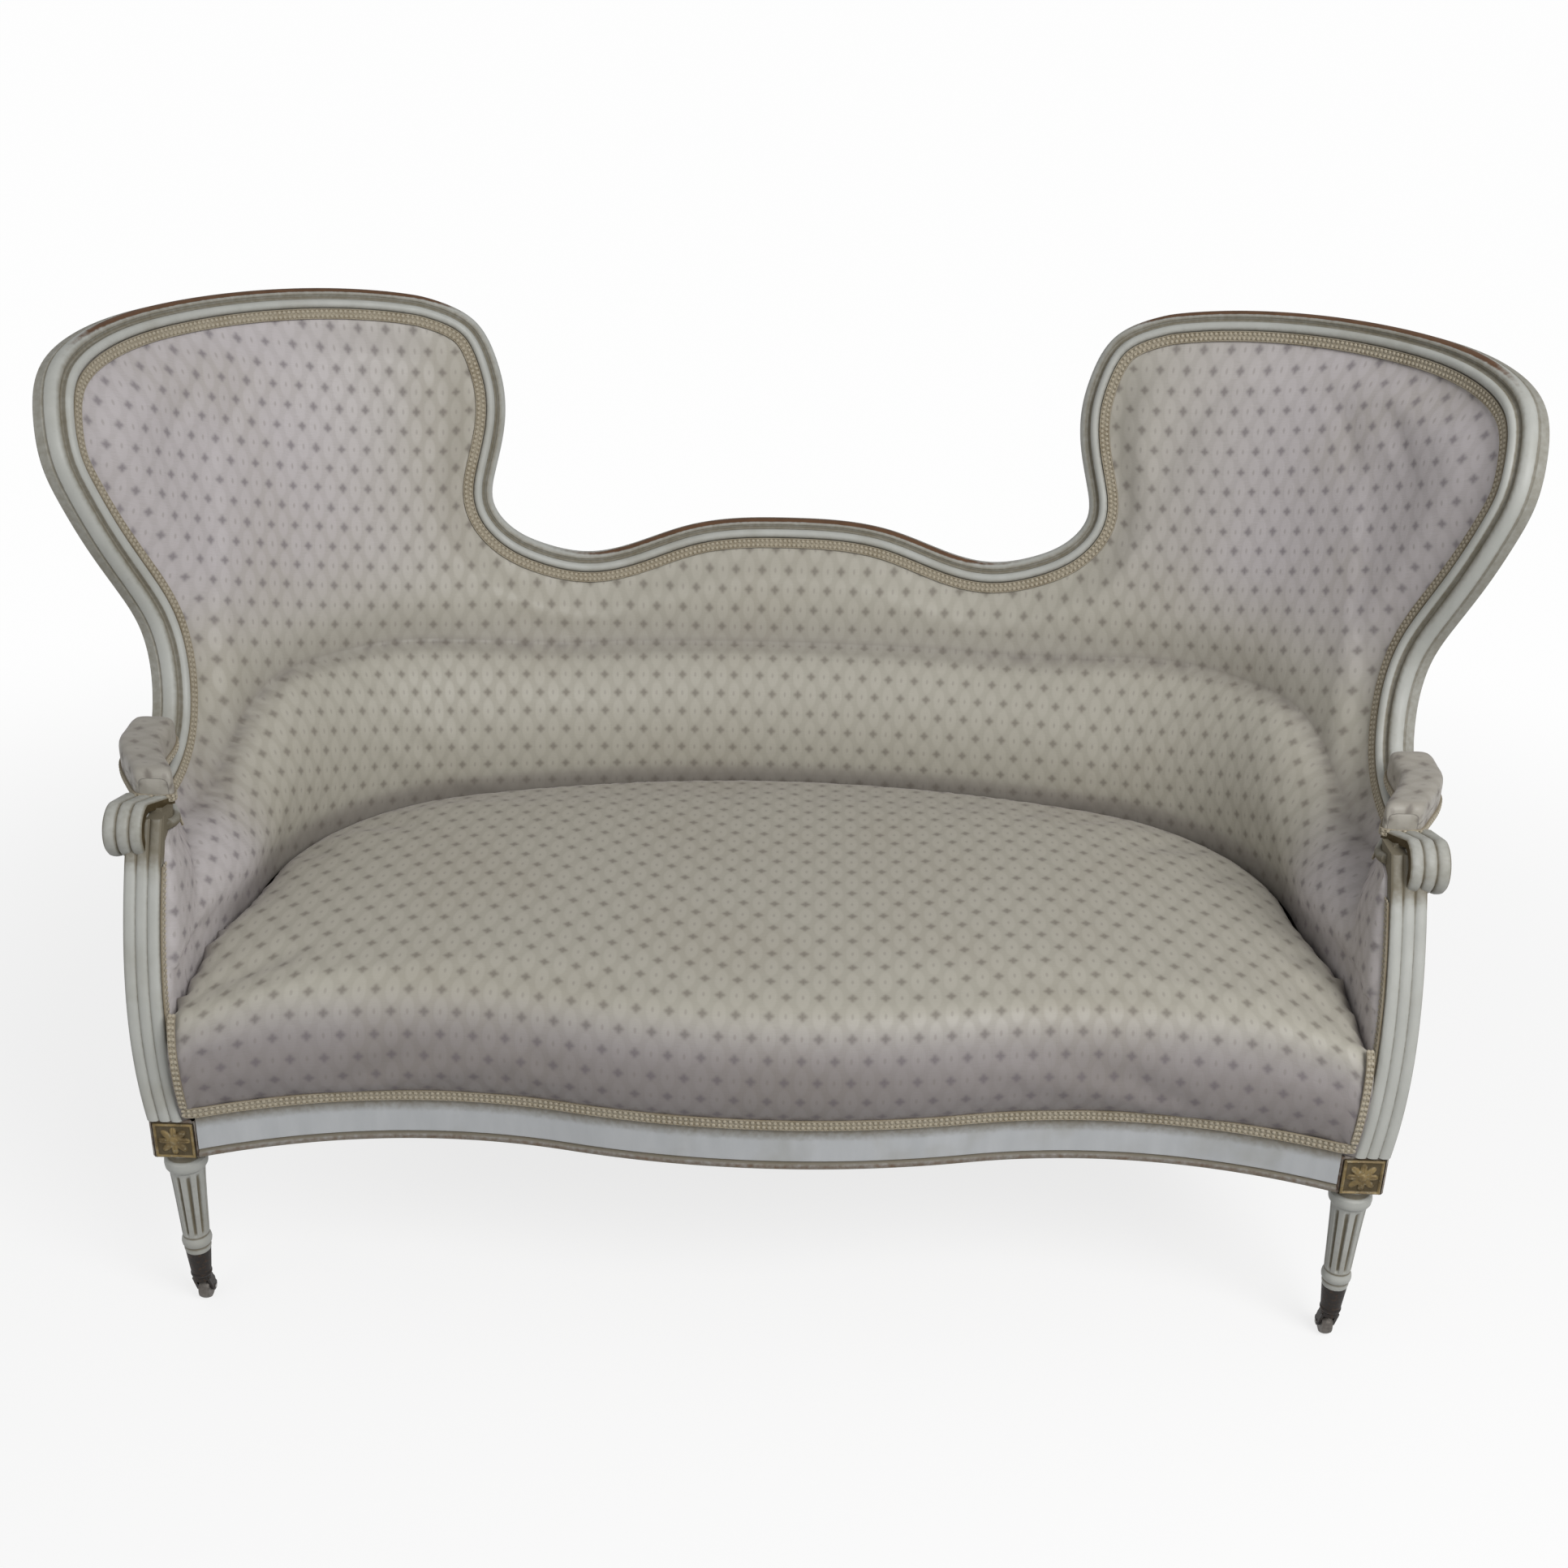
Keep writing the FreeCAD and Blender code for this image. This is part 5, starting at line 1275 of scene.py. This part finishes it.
def pad_ring(share, count=44):
    """Section of a pad: flat below, straight at the sides and arched over the top."""
    along = pad_begin + (pad_end - pad_begin) * share
    middle, out = pad_middle(along)
    tall = pad_height * (0.66 + 0.34 * pad_full(share))
    low = arm_floor(along) + 0.0043
    ring = []
    for i in range(count):
        angle = 2 * math.pi * i / count
        power = 4.5 if i < count / 2 else 12.0
        fat = (abs(math.cos(angle)) ** power + abs(math.sin(angle)) ** power) ** (-1 / power)
        across, up = fat * math.cos(angle), fat * math.sin(angle)
        ring.append(middle + out * (across * pad_side(share)) + Vector((0, 0, low + tall * (0.5 + 0.5 * up))))
    return ring


def pad_way(share):
    """Direction in which an end of a pad faces."""
    way = pad_middle(pad_end)[0] - pad_middle(pad_begin)[0]
    return way.normalized() * (1 if share > 0.5 else -1)


pad_insets = (0.1, 0.3, 0.5, 0.7, 0.85, 0.94)
pad_stations = [(0.0, inset) for inset in pad_insets]
pad_stations += [(0.5 - 0.5 * math.cos(math.pi * i / 48), 1.0) for i in range(49)]
pad_stations += [(1.0, inset) for inset in reversed(pad_insets)]
for side, hand in both_sides:
    rings, pad_cut = [], []
    for share, inset in pad_stations:
        ring = pad_ring(share)
        centre = sum(ring, Vector()) / len(ring)
        bulge = pad_way(share) * (0.003 * (1 - inset * inset))
        ring = [centre + (point - centre) * inset + bulge for point in ring]
        rings.append([on_side(point, side) for point in ring])
        if inset < 1:
            pad_cut += [((p - centre).xy.length, p.z) for p in ring]
        else:
            pad_cut += [((pad_end - pad_begin) * share, 0.17 * k / len(ring)) for k in range(len(ring))]
    points, faces = loft(rings)
    pad = new_piece("armrest_" + hand, points, faces, damask, smooth_angle=80)
    # A little painted sheen, and an even quarter share of painted shade, over each pad.
    cut_cloth(pad, pad_cut, [0.1] * len(points), [0.25] * len(points))
    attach(pad, "frame")
    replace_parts(pad, "arm_pad_" + hand)

# Outside back: the same damask pulled tight over the back of the frame, from the rails to the show-wood.
# It is let in to the back of the moulding, tacked under the rails and drawn forward to the posts.
outside_low, outside_level, side_end = 0.2195, 0.633, 0.985
let_in, cloth_thick = 0.0040, 0.0018
outside_line = cover_line(frame_cover - let_in)
rail_out = -0.0190
outside_slope = (leaned(outside_level) + 0.0305 - rail_out) / (outside_level - outside_low)
outside_half = [spot for spot in outside_line if spot[0] < side_end]
side_high = outside_half[-1][1]
edge_steps = 32
for i in range(1, edge_steps + 1):
    height = side_high + (outside_low - side_high) * i / edge_steps
    rear = leg_y + block_half - 0.003
    if height > block_high:
        rear = post_centre(post_share(height)).y + post_depth / 2 - 0.004
    outside_half.append((along_side(rear), height))
bottom_half = outside_half[-1][0]
outside_floor = [(bottom_half * (1 - i / 45), outside_low) for i in range(1, 90)]
outside_border = outside_half + outside_floor + [(-s, z) for s, z in reversed(outside_half[1:])]
outside_spots, outside_faces = net_over(outside_border, 0.016)
run, height = np.abs(outside_spots[:, 0]), outside_spots[:, 1]
turned = smooth(turn_begin, turn_end, run)
low_part = rail_out + outside_slope * (height - outside_low) * (1 - turned)
low_part = low_part + 0.026 * turned * smooth(outside_low, 0.52, height)
high_part = leaned(height) + 0.0315
outside_out = np.where(height < outside_level, low_part, high_part)
cover_front = [plumb(s, z, out) for (s, z), out in zip(outside_spots, outside_out)]
cover_rear = [plumb(s, z, out + cloth_thick) for (s, z), out in zip(outside_spots, outside_out)]
points, faces = shell(cover_front, cover_rear, outside_faces)
outside_back = new_piece("outside_back", points, faces, damask, smooth_angle=60)
outside_cut = [flat_cloth(s, (z - level) * math.hypot(1, lean)) for s, z in outside_spots]
# A little painted sheen and painted shade, even over the whole outside back.
cut_cloth(outside_back, outside_cut * 2, [0.25] * len(points), [0.1] * len(points))
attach(outside_back, "frame")
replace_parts(outside_back, "outside_back_cover", "outside_crest_cover", "outside_wing_cover_left",
            "outside_wing_cover_right")

# Gimp: a narrow woven braid glued over the tacked edges of the covering, with a cord along each side.
# Two rows of beads run down it between the cords.
gimp = Finish("gimp_braid", {"Specular IOR Level": 0.2, "Sheen Weight": 0.15})
gimp_thread = gimp.noise(650, 3)
gimp_dirt = gimp.noise(28, 3)
gimp_shade = gimp.attribute("patina_and_shade")
gimp_colour = gimp.mix(gimp.fade(gimp_thread, 0.35, 0.65), tone(178, 170, 153), tone(160, 151, 133))
gimp_colour = gimp.mix(gimp.fade(gimp_dirt, 0.45, 0.7) * 0.5, gimp_colour, tone(136, 124, 102))
# Painted shade at the feet of the braid and in the valleys beside its cords.
gimp.set("Base Color", gimp.mix(gimp_shade * 0.75, gimp_colour, tone(116, 103, 80)))
gimp.set("Roughness", 0.62 + 0.2 * gimp_thread)
gimp.bump(gimp_thread, 0.0006)
show_width, seat_width, welt_width = 0.0130, 0.0120, 0.0085
# Each point of the section: share across the width, height in millimetres and painted shade.
gimp_section = [(-0.50, 0.0, 1.0), (-0.50, 1.6, 0.7), (-0.46, 2.4, 0.3), (-0.40, 2.4, 0.3), (-0.35, 1.6, 0.8),
                (-0.10, 1.7, 0.3), (0.10, 1.7, 0.3), (0.35, 1.6, 0.8), (0.40, 2.4, 0.3), (0.46, 2.4, 0.3),
                (0.50, 1.6, 0.7), (0.50, 0.0, 1.0)]
bead_spacing, bead_length, bead_height = 0.0060, 0.0046, 0.0020
bead_rows = (-0.22, 0.22)


def bead_tree():
    """Beads along a line: each one lies along the line and stands on the side its 'outward' says."""
    tree = bpy.data.node_groups.new("gimp_beads", "GeometryNodeTree")
    panel = tree.interface
    panel.new_socket("Line", in_out="INPUT", socket_type="NodeSocketGeometry")
    for label in ("Spacing", "Length", "Height"):
        panel.new_socket(label, in_out="INPUT", socket_type="NodeSocketFloat")
    panel.new_socket("Thread", in_out="INPUT", socket_type="NodeSocketMaterial")
    panel.new_socket("Beads", in_out="OUTPUT", socket_type="NodeSocketGeometry")

    def add(kind, links=None, **settings):
        node = tree.nodes.new(kind)
        for name, value in settings.items():
            setattr(node, name, value)
        for socket, value in (links or {}).items():
            if isinstance(value, bpy.types.NodeSocket):
                tree.links.new(value, node.inputs[socket])
            else:
                node.inputs[socket].default_value = value
        return node

    sizes = add("NodeGroupInput").outputs
    line = add("GeometryNodeMeshToCurve", {"Mesh": sizes["Line"]})
    spaced = add("GeometryNodeResampleCurve",
                 {"Curve": line.outputs["Curve"], "Length": sizes["Spacing"]}, mode="LENGTH")
    outward = add("GeometryNodeInputNamedAttribute", {"Name": "outward"}, data_type="FLOAT_VECTOR")
    tangent = add("GeometryNodeInputTangent")
    stand = add("FunctionNodeAlignRotationToVector", {"Vector": outward.outputs["Attribute"]}, axis="Z")
    lie = add("FunctionNodeAlignRotationToVector",
              {"Rotation": stand.outputs["Rotation"], "Vector": tangent.outputs["Tangent"]},
              axis="X", pivot_axis="Z")
    shape = add("ShaderNodeCombineXYZ", {"X": sizes["Length"], "Y": sizes["Length"], "Z": sizes["Height"]})
    ball = add("GeometryNodeMeshUVSphere", {"Segments": 8, "Rings": 5, "Radius": 0.5})
    beads = add("GeometryNodeInstanceOnPoints",
                {"Points": spaced.outputs["Curve"], "Instance": ball.outputs["Mesh"],
                 "Rotation": lie.outputs["Rotation"], "Scale": shape.outputs["Vector"]})
    solid = add("GeometryNodeRealizeInstances", {"Geometry": beads.outputs["Instances"]})
    coloured = add("GeometryNodeSetMaterial",
                   {"Geometry": solid.outputs["Geometry"], "Material": sizes["Thread"]})
    add("NodeGroupOutput", {"Beads": coloured.outputs["Geometry"]})
    return tree


beads_along = bead_tree()
bead_thread = Finish("gimp_bead", {"Specular IOR Level": 0.25, "Sheen Weight": 0.2})
bead_twist = bead_thread.noise(800, 3)
bead_thread.set("Base Color", bead_thread.mix(bead_twist, tone(186, 178, 160), tone(160, 150, 130)))
bead_thread.set("Roughness", 0.55 + 0.2 * bead_twist)
bead_thread.bump(bead_twist, 0.0005)


def gimp_run(stations, width):
    """Ribbon along stations of (middle, direction across, direction outward)."""
    rings, marks = [], []
    for middle, across, outward in stations:
        rings.append([middle + across * (a * width) + outward * (h / 1000) for a, h, _ in gimp_section])
        marks += [dark for _, _, dark in gimp_section]
    return (*loft(rings), marks, [0.0] * len(marks))


def gimp_beads(name, runs, width):
    """Bead rows of several runs, as one plain mesh."""
    points, edges, outwards = [], [], []
    for stations in runs:
        for share in bead_rows:
            start = len(points)
            for middle, across, outward in stations:
                points.append(middle + across * (share * width) + outward * 0.0019)
                outwards.append(outward)
            edges += [(start + i, start + i + 1) for i in range(len(stations) - 1)]
    line = bpy.data.meshes.new(name + "_line")
    line.from_pydata([tuple(point) for point in points], edges, [])
    held = line.attributes.new("outward", "FLOAT_VECTOR", "POINT")
    held.data.foreach_set("vector", np.array([tuple(v) for v in outwards], dtype=np.float32).ravel())
    piece = bpy.data.objects.new(name, line)
    bpy.context.collection.objects.link(piece)
    maker = piece.modifiers.new("beads", "NODES")
    maker.node_group = beads_along
    values = {"Spacing": bead_spacing, "Length": bead_length, "Height": bead_height,
              "Thread": bead_thread.material}
    for item in beads_along.interface.items_tree:
        if item.name in values:
            maker[item.identifier] = values[item.name]
    seen = piece.evaluated_get(bpy.context.evaluated_depsgraph_get())
    beads = bpy.data.meshes.new_from_object(seen)
    piece.modifiers.remove(maker)
    piece.data = beads
    beads.shade_smooth()
    return piece


def add_gimp(name, runs, width, *nodes):
    """Ribbon and beads over several runs, in place of the nodes that are named."""
    points, faces, low, _ = joined(*(gimp_run(run, width) for run in runs))
    ribbon = new_piece(name, points, faces, gimp, smooth_angle=40)
    mark(ribbon, "patina_and_shade", low)
    beads = gimp_beads(name + "_beads", runs, width)
    for piece in (ribbon, beads):
        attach(piece, "frame")
    if nodes:
        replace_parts(ribbon, *nodes)


def show_gimp(first, last):
    """Stations of the gimp beside the show-wood, between two signed distances."""
    beside = 0.0263 + show_width / 2
    stations = []
    for _, point, inward, front in show_stations(first, last):
        stations.append((point + inward * beside - front * 0.0004, inward, front))
    return stations


def post_gimp(side):
    """Stations of the gimp down the inner face of a post."""
    stations = []
    for i in range(41):
        centre = post_centre(0.06 + 0.84 * i / 40)
        x, y = centre.x - post_width / 2 - 0.0003, centre.y - post_depth / 2 + 0.010
        stations.append((Vector((side * x, y, centre.z)), Vector((0, 1, 0)), Vector((-side, 0, 0))))
    return stations


def seat_gimp():
    """Stations of the gimp along the foot of the seat front."""
    stations = []
    half = 0.626
    for i in range(161):
        x = half * (2 * i / 160 - 1)
        near = max(-rail_end, min(rail_end, x))
        slope = (front_y(near + 0.001) - front_y(near - 0.001)) / 0.002
        outward = Vector((slope, -1, 0)).normalized()
        stations.append((Vector((x, front_y(near, -0.0002), rail_high - 0.002)), Vector((0, 0, 1)), outward))
    return stations


def corner_gimp(side):
    """Stations of the gimp up an end of the seat front, beside the post."""
    stations = []
    for i in range(2, front_rows - 1):
        x = seat_side(front_lengths[i]) - 0.0060
        rows = seat_front(x)
        (y0, z0), (y1, z1) = rows[i - 1], rows[i + 1]
        outward = Vector((0, z0 - z1, y1 - y0)).normalized()
        y, z = rows[i]
        stations.append((Vector((side * x, y, z)) - outward * 0.0004, Vector((side, 0, 0)), outward))
    return stations


def welt_gimp(side):
    """Stations of the gimp round the foot of an arm pad: up one side, across the end and back."""
    shares = [0.5 - 0.5 * math.cos(math.pi * i / 30) for i in range(31)]
    loop = [(share, 1.0) for share in shares] + [(1.0, 1 - i / 4) for i in range(1, 8)]
    loop += [(share, -1.0) for share in reversed(shares)] + [(0.0, i / 4 - 1) for i in range(1, 9)]
    middles = []
    for share, sideways in loop:
        along = pad_begin + (pad_end - pad_begin) * share
        middle, out = pad_middle(along)
        middle = middle + out * (sideways * pad_side(share))
        middles.append(Vector((side * middle.x, middle.y, arm_floor(along) + 0.006)))
    stations = []
    for i, middle in enumerate(middles):
        run = middles[(i + 1) % (len(middles) - 1)] - middles[i - 1 if i else -2]
        outward = Vector((-side * run.y, side * run.x, 0)).normalized()
        stations.append((middle, Vector((0, 0, 1)), outward))
    return stations


add_gimp("crest_gimp", [show_gimp(-show_knots[2], show_knots[2])], show_width, "crest_braid")
wing_ends = show_knots[-1] - 0.040
add_gimp("wing_gimp", [show_gimp(side * show_knots[2], side * wing_ends) for side in (1, -1)], show_width,
         "wing_braid")
add_gimp("post_gimp", [post_gimp(side) for side in (1, -1)], show_width, "post_braid")
add_gimp("seat_gimp", [seat_gimp()], seat_width, "seat_braid")
add_gimp("corner_gimp", [corner_gimp(side) for side in (1, -1)], welt_width)
add_gimp("armrest_gimp", [welt_gimp(side) for side in (1, -1)], welt_width, "arm_pad_braid")

# Studio: a pale floor that keeps the sofa's shadow, a soft sky and two large lamps.
# The camera sees the floor and the sky near white, while both light the sofa more dimly.
floor_finish = Finish("pale_floor", {"Roughness": 0.9, "Specular IOR Level": 0.1})
floor_cloud = floor_finish.noise(0.6, 2)
seen_floor = floor_finish.node("LightPath", output="Is Camera Ray")
seen_floor = seen_floor + floor_finish.node("LightPath", output="Is Glossy Ray")
seen_floor = seen_floor + floor_finish.node("LightPath", output="Is Transmission Ray")
floor_white = floor_finish.mix(floor_cloud, (0.94, 0.94, 0.94, 1), (0.96, 0.96, 0.96, 1))
floor_finish.set("Base Color", floor_finish.mix(seen_floor, (0.35, 0.35, 0.35, 1), floor_white))
floor_glow = floor_finish.node("Emission", {"Color": (1, 1, 1, 1), "Strength": 1.0})
floor_paper = Wired(floor_finish, floor_finish.shader.outputs["BSDF"])
floor_far = floor_finish.node("VectorMath", {0: floor_finish.place}, "Value", operation="LENGTH")
floor_share = 0.78 + 0.20 * floor_finish.fade(floor_far, 1.0, 2.4)
floor_seen = floor_finish.node("MixShader", {0: seen_floor * floor_share, 1: floor_paper, 2: floor_glow})
floor_finish.tree.links.new(floor_seen.socket, floor_finish.tree.nodes["Material Output"].inputs["Surface"])
floor_mesh = bpy.data.meshes.new("studio_floor")
reach = 400.0
floor_mesh.from_pydata([(-reach, -reach, 0), (reach, -reach, 0), (reach, reach, 0), (-reach, reach, 0)], [],
                       [(0, 1, 2, 3)])
floor_mesh.materials.append(floor_finish.material)
floor = bpy.data.objects.new("studio_floor", floor_mesh)
bpy.context.collection.objects.link(floor)

sky = bpy.data.worlds.new("studio_sky")
sky.use_nodes = True
sky_nodes, sky_links = sky.node_tree.nodes, sky.node_tree.links
dim_sky = sky_nodes["Background"]
seen_sky = sky_nodes.new("ShaderNodeBackground")
for background, strength in ((dim_sky, 0.34), (seen_sky, 1.0)):
    background.inputs["Color"].default_value = (1, 1, 1, 1)
    background.inputs["Strength"].default_value = strength
sky_path = sky_nodes.new("ShaderNodeLightPath")
sky_share = sky_nodes.new("ShaderNodeMixShader")
sky_links.new(sky_path.outputs["Is Camera Ray"], sky_share.inputs[0])
sky_links.new(dim_sky.outputs[0], sky_share.inputs[1])
sky_links.new(seen_sky.outputs[0], sky_share.inputs[2])
sky_links.new(sky_share.outputs[0], sky_nodes["World Output"].inputs["Surface"])
bpy.context.scene.world = sky


def add_lamp(name, place, aim, size, power):
    lamp = bpy.data.lights.new(name, "AREA")
    lamp.shape = "DISK"
    lamp.size = size
    lamp.energy = power
    held = bpy.data.objects.new(name, lamp)
    held.location = place
    held.rotation_euler = (Vector(aim) - Vector(place)).to_track_quat("-Z", "Y").to_euler()
    bpy.context.collection.objects.link(held)


add_lamp("soft_key", (1.7, -2.4, 2.8), (0, 0, 0.5), 2.2, 90)
add_lamp("soft_fill", (-2.2, -2.6, 2.0), (0, 0, 0.5), 2.6, 16)

# Camera: a plain lens 1.44 m up and about 2 m in front of the middle of the sofa.
# It looks down by some 25 degrees and is rolled by a little over one.
yaw, pitch, roll_angle = math.radians(-0.85), math.radians(-24.53), math.radians(1.26)
ahead = Vector((math.sin(yaw) * math.cos(pitch), math.cos(yaw) * math.cos(pitch), math.sin(pitch)))
right = ahead.cross(Vector((0, 0, 1))).normalized()
up = right.cross(ahead)
camera_x = right * math.cos(roll_angle) + up * math.sin(roll_angle)
camera_y = up * math.cos(roll_angle) - right * math.sin(roll_angle)
lens = bpy.data.cameras.new("camera")
lens.lens, lens.sensor_width = 42.86, 36.0
camera = bpy.data.objects.new("camera", lens)
turned_camera = Matrix((camera_x, camera_y, -ahead)).transposed().to_4x4()
turned_camera.translation = (0.0355, -2.0493, 1.442)
camera.matrix_world = turned_camera
bpy.context.collection.objects.link(camera)
bpy.context.scene.camera = camera
bpy.context.scene.view_settings.view_transform = "Standard"
